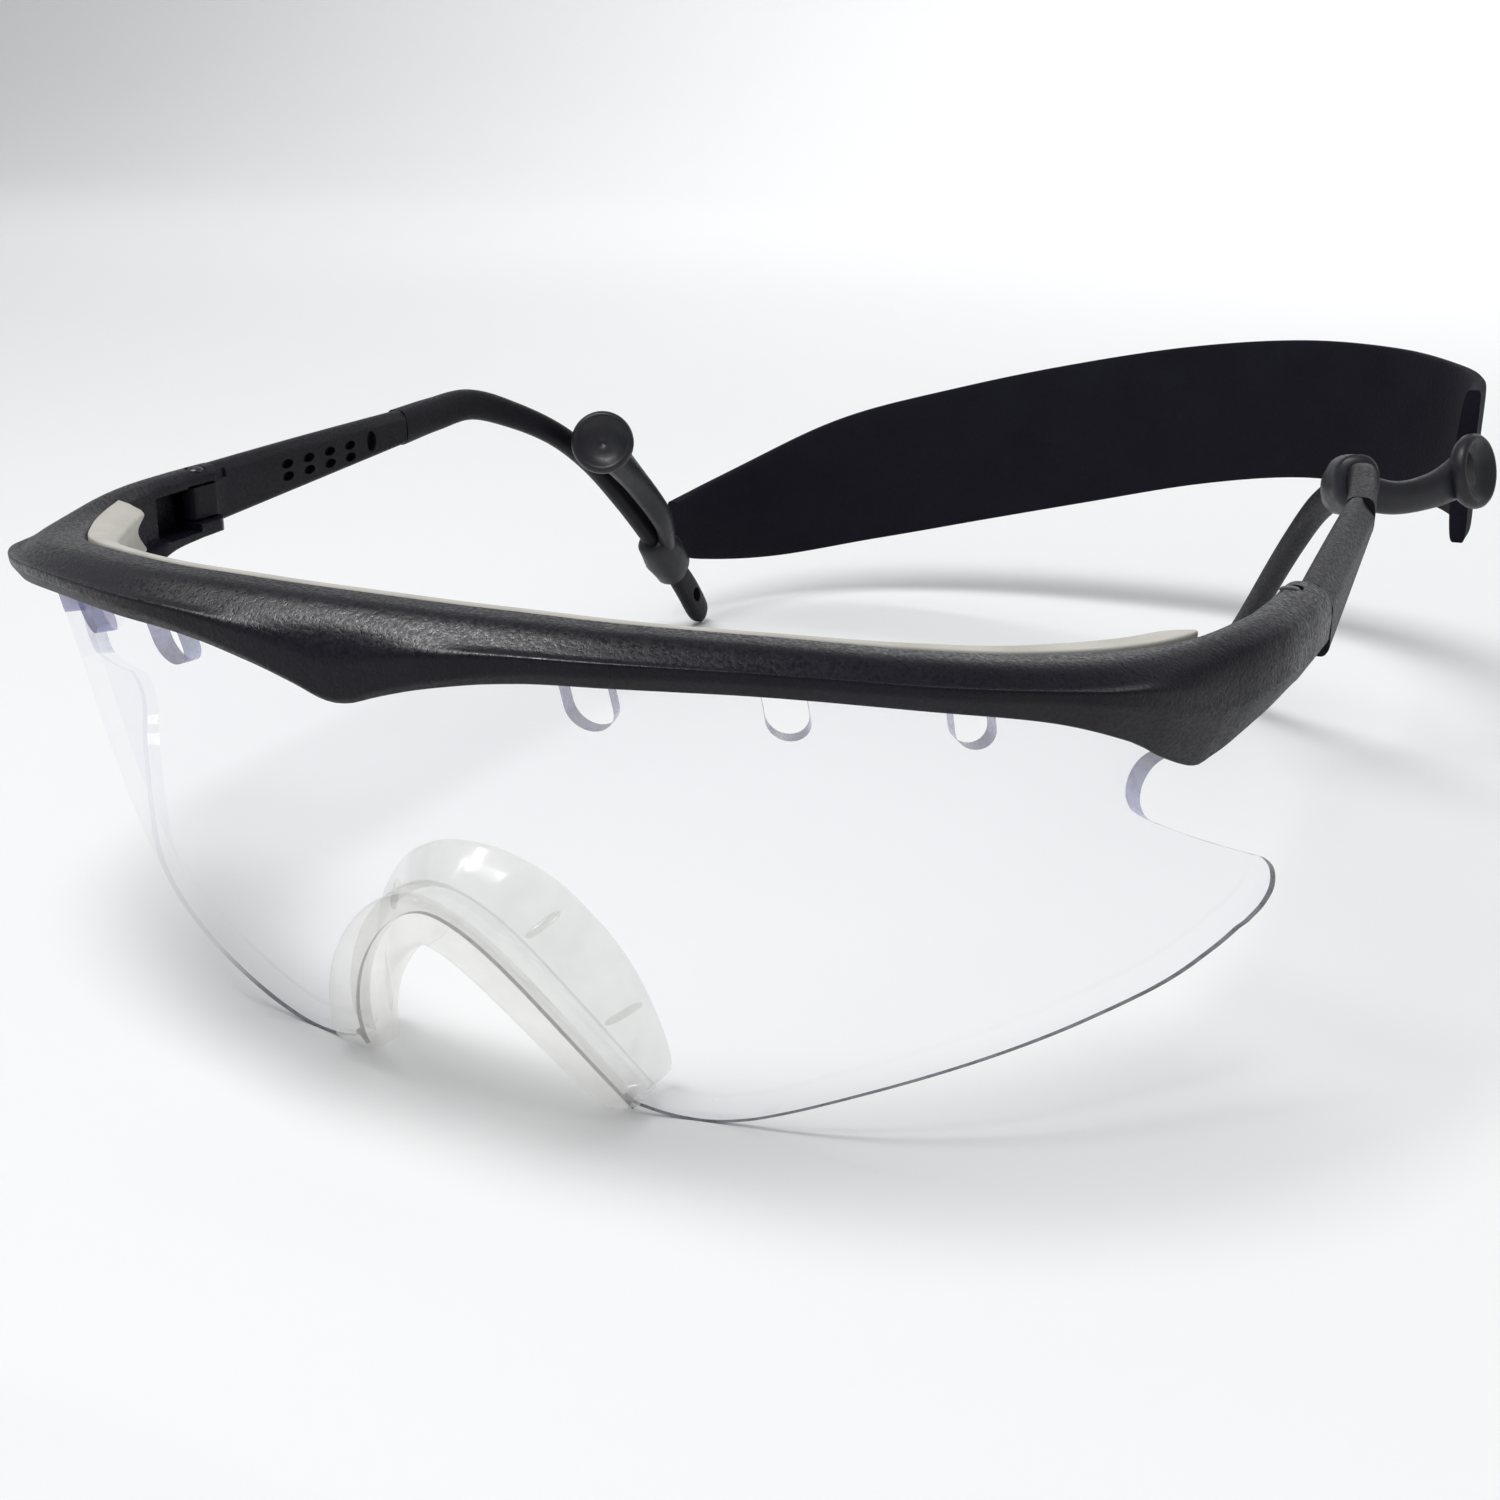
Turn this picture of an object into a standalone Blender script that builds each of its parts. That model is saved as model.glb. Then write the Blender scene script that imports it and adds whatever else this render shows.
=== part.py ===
"""Sports protective goggles with a one-piece wrap lens, folding telescopic temples and a head strap.

Frame: +Z up, the wearer looks along -Y, +X is the wearer's left. The goggles rest on the
lens's lower edge and a temple tip at z = 0. Lengths are in millimetres and each mesh is
scaled to metres when it is made.
"""
import math

import bmesh
import bpy
from mathutils import Matrix, Vector

MM = 0.001

# Point of the drawing that becomes the origin: the centre of the footprint.
ORIGIN = (1.18, 45.41, 0.0)

# Lens: a sheared wrap cylinder. PLAN is half its outer plan line at groove height.
PLAN = [(0.0, -60.3), (12.0, -60.1), (24.0, -58.6), (37.0, -53.2), (49.0, -45.0), (58.0, -35.2),
        (64.2, -25.0), (67.4, -15.0), (68.3, -6.0)]
GROOVE_Z = 48.0
LENS_LEAN = 0.38
LENS_BULGE = 16.0
LENS_THICK = 2.0
LENS_ROWS = 5
LENS_IN_BROW = 2.6
LENS_END = 84.0
NOTCH_AT = 68.8
NOTCH_Z = 35.0
WING_TOP_Z = 26.4
LENS_LOW = [(15.5, 1.4), (19.0, 0.3), (23.0, 0.0), (27.0, 0.7), (31.0, 2.0), (40.0, 5.2), (53.0, 9.2),
            (69.0, 13.6), (76.0, 16.6), (85.0, 20.6)]
WING_FLARE = 2.4
WING_FROM = 62.0
NOSE_HALF = 15.5
NOSE_TOP_Z = 21.6
VENT_AT = [21.8, 37.9, 53.2]
VENT_HALF = 2.7
VENT_FLOOR_Z = [43.8, 43.4, 41.8]

# Brow frame, swept along the same plan line and on to the hinges.
BROW_OUT = 3.3
BROW_IN = 4.6
BROW_LOW = [(0, 44.8), (3.6, 45.6), (8, 46.8), (15, 48.2), (22, 48.7), (36, 48.2), (50, 46.4), (60, 44.4),
            (68, 41.4), (73, 38.8), (78.5, 36.8), (82, 37.0), (88, 38.6), (93, 39.6), (100, 40.2)]
BROW_TOP = [(0, 53.0), (25, 52.6), (45, 51.2), (62, 49.6), (80, 48.6), (100, 48.4)]
GAP = 0.3
PAD_THICK = 3.0
PAD_END = 74.0

# Hinges: a vertical pin through two lugs of the brow and a knuckle of the temple.
HINGE_X = 65.5
HINGE_Y = -3.0
PIN_R = 0.9
PIN_BORE_R = 1.0
PIN_LOW_Z = 40.4
PIN_TOP_Z = 48.6
KNUCKLE_R = 2.5
KNUCKLE_LOW_Z = 42.4
KNUCKLE_TOP_Z = 46.2
HINGE_SIDES = 24

# Temples. A side is -1 for the wearer's right and +1 for the wearer's left.
ARM_START_X = 67.2
ARM_THICK = 3.7
ARM_LENGTH = 43.0
ARM_SPLAY = {-1: math.radians(2.4), 1: math.radians(-5.1)}
ARM_TOP_Z = 47.9
ARM_BOTTOM_START_Z = 40.9
ARM_BOTTOM_END_Z = 43.3
CHANNEL_START = 14.0
CHANNEL_WIDE = 1.7
CHANNEL_LOW_Z = 44.0
CHANNEL_TOP_Z = 46.8
NOTCH_COUNT = 4
NOTCH_PITCH = 3.4
NOTCH_FIRST = 23.0
NOTCH_LONG = 2.2
TONGUE_PLAY = 0.3
CLICK_LOW_Z = 45.0
CLICK_TOP_Z = 45.8
CLICK_PLAY = 0.3
TONGUE_LENGTH = 24.0

# Hook centre line: distance along the arm, inward curl, centre height, depth across the section.
HOOK = {
    -1: [(43.3, 0.0, 45.5, 4.8), (52.0, 0.4, 46.0, 4.6), (61.0, 1.2, 46.1, 4.4), (70.0, 3.3, 43.2, 3.9),
         (78.0, 5.9, 39.2, 3.6), (85.0, 8.1, 33.9, 3.5), (92.0, 9.9, 27.0, 3.5), (99.0, 11.2, 19.8, 3.6),
         (105.0, 11.8, 13.8, 4.0), (111.0, 12.0, 8.0, 4.8), (115.4, 12.0, 3.3, 4.8), (118.0, 11.9, 1.1, 2.8)],
    1: [(43.3, 0.0, 45.5, 4.8), (52.0, 0.5, 46.1, 4.6), (61.0, 1.5, 46.3, 4.4), (70.0, 4.6, 43.2, 3.9),
        (78.0, 8.0, 39.0, 3.6), (85.0, 11.2, 33.2, 3.5), (92.0, 14.4, 26.6, 3.5), (99.0, 17.6, 19.6, 3.6),
        (105.0, 20.4, 13.6, 4.0), (111.0, 23.3, 7.8, 4.8), (115.4, 25.4, 3.2, 4.8), (118.0, 26.6, 1.1, 2.8)],
}
HOOK_THICK = 3.0
TIP_HOLE_AT = 112.6
TIP_HOLE_R = 1.1

# Strap hardware and the neoprene band.
SLEEVE_AT = {-1: 100.0, 1: 63.0}
SLEEVE_LONG = 7.0
SLEEVE_WALL = 1.3
TAB_ARM = {
    -1: [(-58.8, 103.0, 17.6), (-56.6, 97.5, 23.0), (-57.4, 90.0, 30.6), (-57.0, 79.6, 38.2)],
    1: [(57.9, 66.3, 44.2), (62.6, 70.4, 42.6), (66.6, 75.6, 43.0), (69.6, 81.0, 44.6)],
}
TAB_FACE = {-1: (0.44, -0.85, 0.30), 1: (0.93, -0.30, 0.22)}
DISC_R = 4.8
DISC_THICK = 2.2
BAND_THICK = 2.4
# Band centre line from the right loop round the back to the left disc: x, y, z, width.
BAND = [
    (-62.8, 111.4, 17.8, 8.5), (-61.6, 122.0, 16.8, 13.0), (-55.0, 137.0, 17.8, 19.0),
    (-42.0, 147.5, 22.0, 23.0), (-24.0, 152.5, 26.8, 24.0), (-5.0, 153.0, 31.8, 24.0),
    (16.0, 150.5, 37.0, 23.0), (35.0, 145.0, 40.4, 22.0), (51.0, 135.0, 41.6, 21.5),
    (62.0, 120.0, 42.0, 21.0), (67.0, 103.0, 43.0, 20.5), (68.4, 87.5, 44.0, 20.0),
]
# Path steps at which the band is divided, five steps to each row above.
BAND_CUTS = [0, 5, 25, 45, 55]
BAND_GAP = 0.5


def clear_scene():
    for obj in list(bpy.data.objects):
        bpy.data.objects.remove(obj, do_unlink=True)


def make_material(name, color, roughness, alpha=1.0, transmission=0.0):
    mat = bpy.data.materials.new(name)
    mat.use_nodes = True
    shader = mat.node_tree.nodes["Principled BSDF"]
    shader.inputs["Base Color"].default_value = (*color, 1.0)
    shader.inputs["Roughness"].default_value = roughness
    shader.inputs["Alpha"].default_value = alpha
    shader.inputs["Transmission Weight"].default_value = transmission
    return mat


def lerp_table(table, at):
    """Value at a position in a table of (position, value), straight between its rows."""
    if at <= table[0][0]:
        return table[0][1]
    for low, high in zip(table, table[1:]):
        if at <= high[0]:
            return low[1] + (high[1] - low[1]) * (at - low[0]) / (high[0] - low[0])
    return table[-1][1]


def smooth_path(points, steps):
    """Catmull-Rom through the points, with the same number of steps in each span."""
    vectors = [Vector(p) for p in points]
    padded = [vectors[0] * 2 - vectors[1]] + vectors + [vectors[-1] * 2 - vectors[-2]]
    path = []
    for a, b, c, d in zip(padded, padded[1:], padded[2:], padded[3:]):
        for step in range(steps):
            t = step / steps
            path.append(0.5 * (2 * b + (c - a) * t + (2 * a - 5 * b + 4 * c - d) * t ** 2
                               + (3 * b - a - 3 * c + d) * t ** 3))
    path.append(vectors[-1])
    return path


def arc_lengths(path):
    total = [0.0]
    for a, b in zip(path, path[1:]):
        total.append(total[-1] + (b - a).length)
    return total


def sample(path, lengths, at):
    at = min(max(at, 0.0), lengths[-1])
    for i in range(len(path) - 1):
        if at <= lengths[i + 1]:
            share = (at - lengths[i]) / (lengths[i + 1] - lengths[i])
            return path[i].lerp(path[i + 1], share), (path[i + 1] - path[i]).normalized()
    return path[-1].copy(), (path[-1] - path[-2]).normalized()


HALF_PLAN = smooth_path(PLAN, 8)
HALF_LENGTHS = arc_lengths(HALF_PLAN)


def plan_at(along):
    """Point and inward normal of the plan line; along is signed from the centre."""
    side = -1 if along < 0 else 1
    if abs(along) <= HALF_LENGTHS[-1]:
        point, tangent = sample(HALF_PLAN, HALF_LENGTHS, abs(along))
    else:
        tangent = Vector((0.0, 1.0))
        point = HALF_PLAN[-1] + tangent * (abs(along) - HALF_LENGTHS[-1])
    normal = Vector((-tangent.y, tangent.x))
    return Vector((point.x * side, point.y)), Vector((normal.x * side, normal.y))


def mesh_object(name, verts, faces, mat, origin=(0, 0, 0), smooth_angle=35.0):
    mesh = bpy.data.meshes.new(name)
    base = Vector(origin)
    mesh.from_pydata([(Vector(v) - base) * MM for v in verts], [], faces)
    bm = bmesh.new()
    bm.from_mesh(mesh)
    bmesh.ops.remove_doubles(bm, verts=bm.verts, dist=1e-7)
    bmesh.ops.recalc_face_normals(bm, faces=bm.faces)
    bm.to_mesh(mesh)
    bm.free()
    mesh.shade_smooth()
    mesh.set_sharp_from_angle(angle=math.radians(smooth_angle))
    obj = bpy.data.objects.new(name, mesh)
    obj.location = (base - Vector(ORIGIN)) * MM
    bpy.context.scene.collection.objects.link(obj)
    obj.data.materials.append(mat)
    return obj


def loft(rings):
    """Vertices and faces of a closed solid through rings of equal size, with capped ends."""
    size = len(rings[0])
    verts = [Vector(p) for ring in rings for p in ring]
    faces = [list(range(size)), [len(verts) - size + i for i in range(size)][::-1]]
    for row in range(len(rings) - 1):
        for i in range(size):
            j = (i + 1) % size
            faces.append([row * size + i, (row + 1) * size + i, (row + 1) * size + j, row * size + j])
    return verts, faces


def disc_ring(centre, radius, z, sides=HINGE_SIDES):
    return [(centre[0] + radius * math.cos(2 * math.pi * i / sides),
             centre[1] + radius * math.sin(2 * math.pi * i / sides), z) for i in range(sides)]


def hidden_tool(name, verts, faces, mat):
    tool = mesh_object(name, verts, faces, mat)
    tool.hide_render = True
    tool.display_type = "WIRE"
    return tool


def boolean(obj, tool, operation):
    mod = obj.modifiers.new(tool.name, "BOOLEAN")
    mod.object = tool
    mod.operation = operation
    mod.solver = "EXACT"


# ---------------------------------------------------------------- front of the goggles

def lens_point(along, z, depth):
    """Point of the leaning, slightly bulged pane at a depth behind its front face."""
    point, normal = plan_at(along)
    below = max(0.0, (GROOVE_Z - z) / GROOVE_Z)
    bulge = LENS_BULGE * below * below * (1 - below)
    flare = WING_FLARE * max(0.0, (abs(along) - WING_FROM) / (LENS_END - WING_FROM)) ** 2
    point = point + normal * (depth - flare)
    return Vector((point.x, point.y + LENS_LEAN * (GROOVE_Z - z) - bulge, z))


def lens_top(along):
    at = abs(along)
    for centre, floor in zip(VENT_AT, VENT_FLOOR_Z):
        offset = abs(at - centre)
        if offset < VENT_HALF:
            return floor + VENT_HALF * (1 - math.sqrt(1 - (offset / VENT_HALF) ** 2))
    if at <= NOTCH_AT:
        return lerp_table(BROW_TOP, at) - LENS_IN_BROW
    return NOTCH_Z + (WING_TOP_Z - NOTCH_Z) * (at - NOTCH_AT) / (LENS_END - 3.0 - NOTCH_AT)


def lens_bottom(along):
    at = abs(along)
    if at < NOSE_HALF:
        return NOSE_TOP_Z * (1 - (at / NOSE_HALF) ** 1.75) ** 0.85
    return lerp_table(LENS_LOW, at)


def lens_stations():
    ends = [LENS_END - 0.02, LENS_END - 0.4, LENS_END - 1.2, LENS_END - 2.2, LENS_END - 3.0]
    rim = [NOTCH_AT - 0.01, NOTCH_AT + 0.05]
    vents = [c + VENT_HALF * math.sin(math.pi * k / 12) * 0.999 for c in VENT_AT for k in range(-6, 7)]
    vents += [c + VENT_HALF * 1.001 * s for c in VENT_AT for s in (-1, 1)]
    nose = [NOSE_HALF * math.sin(math.pi * k / 24) for k in range(0, 13)]
    plain = [NOSE_HALF + 2.8 * k for k in range(1, 24)]
    half = sorted(set(round(v, 4) for v in ends + rim + vents + nose + plain if v < LENS_END))
    return [-v for v in reversed(half) if v > 0] + half


def wing_round(along):
    """Share of the end column that the rounded wing corner leaves."""
    into = LENS_END - abs(along)
    return math.sqrt(max(0.0, 1 - (1 - min(into / 3.0, 1.0)) ** 2))


def build_lens(mat):
    rings = []
    for along in lens_stations():
        low = lens_bottom(along)
        high = lens_top(along)
        share = max(wing_round(along), 0.12)
        middle = 0.5 * (low + high)
        if abs(along) > LENS_END - 3.0:
            low = middle + (low - middle) * share
            high = middle + (high - middle) * share
        heights = [low + (high - low) * k / LENS_ROWS for k in range(LENS_ROWS + 1)]
        front = [lens_point(along, z, 0) for z in heights]
        rings.append(front + [lens_point(along, z, LENS_THICK) for z in reversed(heights)])
    verts, faces = loft(rings)
    return mesh_object("lens", verts, faces, mat)


def brow_section(along):
    """Closed outline across the brow: distance inward from the plan line, then height."""
    low = lerp_table(BROW_LOW, abs(along))
    top = lerp_table(BROW_TOP, abs(along))
    side = min(1.0, max(0.0, (abs(along) - 66.0) / 12.0))
    inner = BROW_IN - 0.2 * side
    outer = -BROW_OUT + 2.4 * side
    return [(outer + 1.4, low), (1.0, low), (2.4, low + 1.2), (inner, low + 1.4), (inner, top - 1.0),
            (inner - 0.8, top - 0.2), (inner - 2.4, top), (outer + 2.0, top - 0.4), (outer + 0.8, top - 1.5),
            (outer, top - 3.2), (outer, low + 1.6)]


def build_brow(mat):
    rings = []
    count = 48
    for i in range(count + 1):
        point, normal = plan_at(HALF_LENGTHS[-1] * (2 * i / count - 1))
        along = HALF_LENGTHS[-1] * (2 * i / count - 1)
        rings.append([(point.x + normal.x * d, point.y + normal.y * d, z) for d, z in brow_section(along)])
    verts, faces = loft(rings)
    brow = mesh_object("brow_frame", verts, faces, mat)
    cut_lens_groove(brow, mat)
    for side in (-1, 1):
        add_hinge_lugs(brow, side, mat)
    return brow


def cut_lens_groove(brow, mat):
    """The lens's own sheared shape, with a gap all round, cut up into the brow."""
    rings = []
    count = 40
    reach = NOTCH_AT + 0.6
    for i in range(count + 1):
        along = reach * (2 * i / count - 1)
        top = lerp_table(BROW_TOP, abs(along)) - LENS_IN_BROW + GAP
        low = lerp_table(BROW_LOW, abs(along)) - 4.0
        heights = [low + (top - low) * k / LENS_ROWS for k in range(LENS_ROWS + 1)]
        front = [lens_point(along, z, -GAP) for z in heights]
        rings.append(front + [lens_point(along, z, LENS_THICK + GAP) for z in reversed(heights)])
    verts, faces = loft(rings)
    boolean(brow, hidden_tool("tool_groove", verts, faces, mat), "DIFFERENCE")


def add_hinge_lugs(brow, side, mat):
    """Two lugs and an outer wall on the end of the brow, bored for the pin."""
    centre = (side * HINGE_X, HINGE_Y)
    wall = 3.6
    outline = [(side * (HINGE_X + wall), HINGE_Y - 5.0), (side * (HINGE_X + wall), -0.1),
               (side * (HINGE_X + 1.0), -0.1)]
    for k in range(7):
        turn = math.pi / 2 + (math.pi / 2) * k / 6
        outline.append((side * (HINGE_X + 2.85 * math.cos(turn)), HINGE_Y + 2.85 * math.sin(turn)))
    outline.append((side * (HINGE_X - 2.85), HINGE_Y - 5.0))
    low = lerp_table(BROW_LOW, 100)
    top = lerp_table(BROW_TOP, 100)
    verts, faces = loft([[(x, y, z) for x, y in outline] for z in (low, top)])
    boolean(brow, hidden_tool(f"tool_lug_{side}", verts, faces, mat), "UNION")
    pocket = [(side * (HINGE_X + 2.75), HINGE_Y - KNUCKLE_R - 0.4), (side * (HINGE_X + 2.75), 4.0),
              (side * (HINGE_X - 9.0), 4.0), (side * (HINGE_X - 9.0), HINGE_Y - KNUCKLE_R - 0.4)]
    slot_low = KNUCKLE_LOW_Z - GAP
    slot_top = KNUCKLE_TOP_Z + GAP
    verts, faces = loft([[(x, y, z) for x, y in pocket] for z in (slot_low, slot_top)])
    boolean(brow, hidden_tool(f"tool_pocket_{side}", verts, faces, mat), "DIFFERENCE")
    verts, faces = loft([disc_ring(centre, PIN_BORE_R, z) for z in (PIN_LOW_Z - 2, PIN_TOP_Z + 2)])
    boolean(brow, hidden_tool(f"tool_bore_{side}", verts, faces, mat), "DIFFERENCE")


def build_pad(mat):
    rings = []
    count = 36
    for i in range(count + 1):
        along = PAD_END * (2 * i / count - 1)
        point, normal = plan_at(along)
        top = lerp_table(BROW_TOP, abs(along)) + 0.6
        thick = PAD_THICK * (0.55 + 0.45 * abs(along) / PAD_END)
        near = BROW_IN + GAP
        ring = [(near, top - 5.4), (near + thick, top - 5.0), (near + thick + 0.3, top - 1.6),
                (near + 0.7 * thick, top - 0.2), (near + 0.1, top - 0.4)]
        rings.append([(point.x + normal.x * d, point.y + normal.y * d, z) for d, z in ring])
    verts, faces = loft(rings)
    return mesh_object("brow_pad", verts, faces, mat)


def nose_arch(share):
    """Point of the lens's nose arch and the direction into the lens, in lens coordinates."""
    turn = math.pi * (share - 0.5)
    along = NOSE_HALF * 0.985 * math.sin(turn)
    return along, lens_bottom(along)


def build_nose_piece(mat):
    """Soft channel round the nose arch with a saddle that flares back from it."""
    rings = []
    count = 28
    for i in range(count + 1):
        share = 0.03 + 0.94 * i / count
        along, z = nose_arch(share)
        before = Vector(nose_arch(share - 0.01))
        after = Vector(nose_arch(share + 0.01))
        tangent = (after - before).normalized()
        into = Vector((-tangent.y, tangent.x))
        swell = math.sin(math.pi * i / count) ** 0.5
        side = math.sin(math.pi * abs(2 * i / count - 1)) ** 2
        reach = 5.6 + 3.2 * swell + 1.2 * side
        flare = 0.8 + 0.9 * swell + 2.6 * side
        lip = -1.9 - 1.4 * swell
        outline = [(lip, -0.9), (lip + 0.8, -1.5), (2.4, -1.4), (2.4, -GAP), (-GAP, -GAP),
                   (-GAP, LENS_THICK + GAP), (2.6, LENS_THICK + GAP), (2.6, 3.5), (0.8, 3.8),
                   (0.8 + 0.5 * flare, 0.6 * reach), (0.8 + flare, reach), (-0.3 + flare, reach + 0.3),
                   (-0.9 + 0.4 * flare, 0.6 * reach), (lip, 3.2)]
        ring = []
        for a, b in outline:
            spot = Vector((along, z)) + into * a
            ring.append(lens_point(spot.x, max(spot.y, 0.25), b))
        rings.append(ring)
    verts, faces = loft(rings)
    return mesh_object("nose_piece", verts, faces, mat)


# ---------------------------------------------------------------- temples

def arm_point(side, along, inward, z):
    """Point of an open temple: distance along the arm, inward from its centre line, height."""
    turn = ARM_SPLAY[side]
    x = ARM_START_X - inward
    ahead = Vector((math.sin(turn), math.cos(turn)))
    start = Vector((ARM_START_X, 0.0))
    across = Vector((-ahead.y, ahead.x))
    spot = start + ahead * along + across * (ARM_START_X - x)
    return Vector((side * spot.x, spot.y, z))


def hinge_origin(side):
    return (side * HINGE_X, HINGE_Y, 0.5 * (KNUCKLE_LOW_Z + KNUCKLE_TOP_Z))


def side_name(side):
    return "left" if side > 0 else "right"


def build_front_arm(side, mat):
    half = ARM_THICK / 2
    rings = []
    for along in (0.3, ARM_LENGTH):
        low = ARM_BOTTOM_START_Z + (ARM_BOTTOM_END_Z - ARM_BOTTOM_START_Z) * along / ARM_LENGTH
        top = ARM_TOP_Z
        outline = [(-half, low + 0.6), (-half + 0.6, low), (half - 0.4, low), (half, low + 0.4),
                   (half, top - 1.5), (half - 1.3, top), (-half + 0.9, top), (-half, top - 0.9)]
        rings.append([arm_point(side, along, inward, z) for inward, z in outline])
    verts, faces = loft(rings)
    arm = mesh_object(f"temple_front_{side_name(side)}", verts, faces, mat, hinge_origin(side))
    add_knuckle(arm, side, mat)
    cut_channel(arm, side, mat)
    return arm


def add_knuckle(arm, side, mat):
    centre = Vector((side * HINGE_X, HINGE_Y))
    outline = []
    for k in range(15):
        turn = math.pi * 0.5 + math.pi * 1.0 * k / 14
        outline.append((centre.x + side * KNUCKLE_R * math.cos(turn), centre.y + KNUCKLE_R * math.sin(turn)))
    outline += [(centre.x + side * 2.3, HINGE_Y - 0.6), (centre.x + side * 2.3, 2.5)]
    outline += [(centre.x - side * 0.1, 2.5)]
    outline = [p for i, p in enumerate(outline) if i > 0]
    verts, faces = loft([[(x, y, z) for x, y in outline] for z in (KNUCKLE_LOW_Z, KNUCKLE_TOP_Z)])
    boolean(arm, hidden_tool(f"tool_knuckle_{side}", verts, faces, mat), "UNION")
    verts, faces = loft([disc_ring(centre, PIN_BORE_R, z) for z in (KNUCKLE_LOW_Z - 2, KNUCKLE_TOP_Z + 1.2)])
    boolean(arm, hidden_tool(f"tool_knuckle_bore_{side}", verts, faces, mat), "DIFFERENCE")


def arm_box(side, start, end, inner, outer, low, high):
    corners = [(inner, low), (outer, low), (outer, high), (inner, high)]
    return loft([[arm_point(side, along, inward, z) for inward, z in corners] for along in (start, end)])


def cut_channel(arm, side, mat):
    """The tongue's channel, the window the click rides in, and the notches along that window."""
    half = CHANNEL_WIDE / 2
    verts, faces = arm_box(side, CHANNEL_START, ARM_LENGTH + 5, -half, half, CHANNEL_LOW_Z, CHANNEL_TOP_Z)
    boolean(arm, hidden_tool(f"tool_channel_{side}", verts, faces, mat), "DIFFERENCE")
    end = NOTCH_FIRST + NOTCH_PITCH * (NOTCH_COUNT - 1) + NOTCH_LONG
    verts, faces = arm_box(side, NOTCH_FIRST + 0.2, end - 0.2, 0, ARM_THICK, CLICK_LOW_Z - CLICK_PLAY,
                           CLICK_TOP_Z + CLICK_PLAY)
    boolean(arm, hidden_tool(f"tool_window_{side}", verts, faces, mat), "DIFFERENCE")
    for index in range(NOTCH_COUNT):
        start = NOTCH_FIRST + NOTCH_PITCH * index
        verts, faces = arm_box(side, start, start + NOTCH_LONG, 0, ARM_THICK + 1, CHANNEL_LOW_Z + 0.4,
                               CHANNEL_TOP_Z - 0.4)
        boolean(arm, hidden_tool(f"tool_notch_{side}_{index}", verts, faces, mat), "DIFFERENCE")


def hook_path(side):
    return smooth_path([Vector(p) for p in HOOK[side]], 4)


def hook_values(side, along):
    """Inward curl, centre height and depth of the hook at a distance along the arm."""
    path = hook_path(side)
    for before, after in zip(path, path[1:]):
        if along <= after.x:
            share = (along - before.x) / (after.x - before.x)
            return before.lerp(after, share).yzw
    return path[-1].yzw


def hook_centre(side, along):
    curl, height, depth = hook_values(side, along)
    return arm_point(side, along, curl, height)


def hook_axes(side, along):
    before = hook_centre(side, along - 0.6)
    after = hook_centre(side, along + 0.6)
    tangent = (after - before).normalized()
    level = Vector((-tangent.y, tangent.x, 0)).normalized() * side
    upward = tangent.cross(level).normalized()
    if upward.z < 0:
        upward = -upward
    return tangent, level, upward


def section_ring(centre, level, upward, half_thick, half_deep, sides=12, power=2.8):
    ring = []
    for i in range(sides):
        turn = 2 * math.pi * (i + 0.5) / sides
        c = math.cos(turn)
        s = math.sin(turn)
        wide = abs(c) ** (2 / power) * math.copysign(half_thick, c)
        deep = abs(s) ** (2 / power) * math.copysign(half_deep, s)
        ring.append(centre + level * wide + upward * deep)
    return ring


def build_rear_arm(side, mat):
    rings = []
    for spot in hook_path(side):
        tangent, level, upward = hook_axes(side, min(max(spot.x, 44.0), 116.5))
        rings.append(section_ring(hook_centre(side, spot.x), level, upward, HOOK_THICK / 2, spot.w / 2))
    verts, faces = loft(rings)
    rear = mesh_object(f"temple_rear_{side_name(side)}", verts, faces, mat,
                       arm_point(side, ARM_LENGTH, 0, HOOK[side][0][2]))
    half = CHANNEL_WIDE / 2 - TONGUE_PLAY
    start = ARM_LENGTH - TONGUE_LENGTH
    verts, faces = arm_box(side, start, ARM_LENGTH + 3.0, -half, half, CHANNEL_LOW_Z + TONGUE_PLAY,
                           CHANNEL_TOP_Z - TONGUE_PLAY)
    boolean(rear, hidden_tool(f"tool_tongue_{side}", verts, faces, mat), "UNION")
    cut_tip_hole(rear, side, mat)
    return rear


def cut_tip_hole(rear, side, mat):
    centre = hook_centre(side, TIP_HOLE_AT)
    tangent, level, upward = hook_axes(side, TIP_HOLE_AT)
    rings = []
    for reach in (-4, 4):
        ring = []
        for k in range(16):
            turn = 2 * math.pi * k / 16
            ring.append(centre + level * reach + tangent * (1.45 * TIP_HOLE_R * math.cos(turn))
                        + upward * (TIP_HOLE_R * math.sin(turn)))
        rings.append(ring)
    verts, faces = loft(rings)
    boolean(rear, hidden_tool(f"tool_tip_hole_{side}", verts, faces, mat), "DIFFERENCE")


def build_click(side, mat):
    """The detent button on the tongue, sitting in the last notch of the front arm."""
    start = NOTCH_FIRST + 0.35
    inner = CHANNEL_WIDE / 2 - TONGUE_PLAY + 0.02
    verts, faces = arm_box(side, start, start + NOTCH_LONG - 0.7, inner, ARM_THICK / 2 - 0.3,
                           CLICK_LOW_Z, CLICK_TOP_Z)
    return mesh_object(f"length_click_{side_name(side)}", verts, faces, mat)


def build_pin(side, mat):
    centre = (side * HINGE_X, HINGE_Y)
    verts, faces = loft([disc_ring(centre, PIN_R, z) for z in (PIN_LOW_Z, PIN_TOP_Z - 0.25)])
    return mesh_object(f"hinge_pin_{side_name(side)}", verts, faces, mat, (*centre, PIN_LOW_Z))


# ---------------------------------------------------------------- strap

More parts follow.
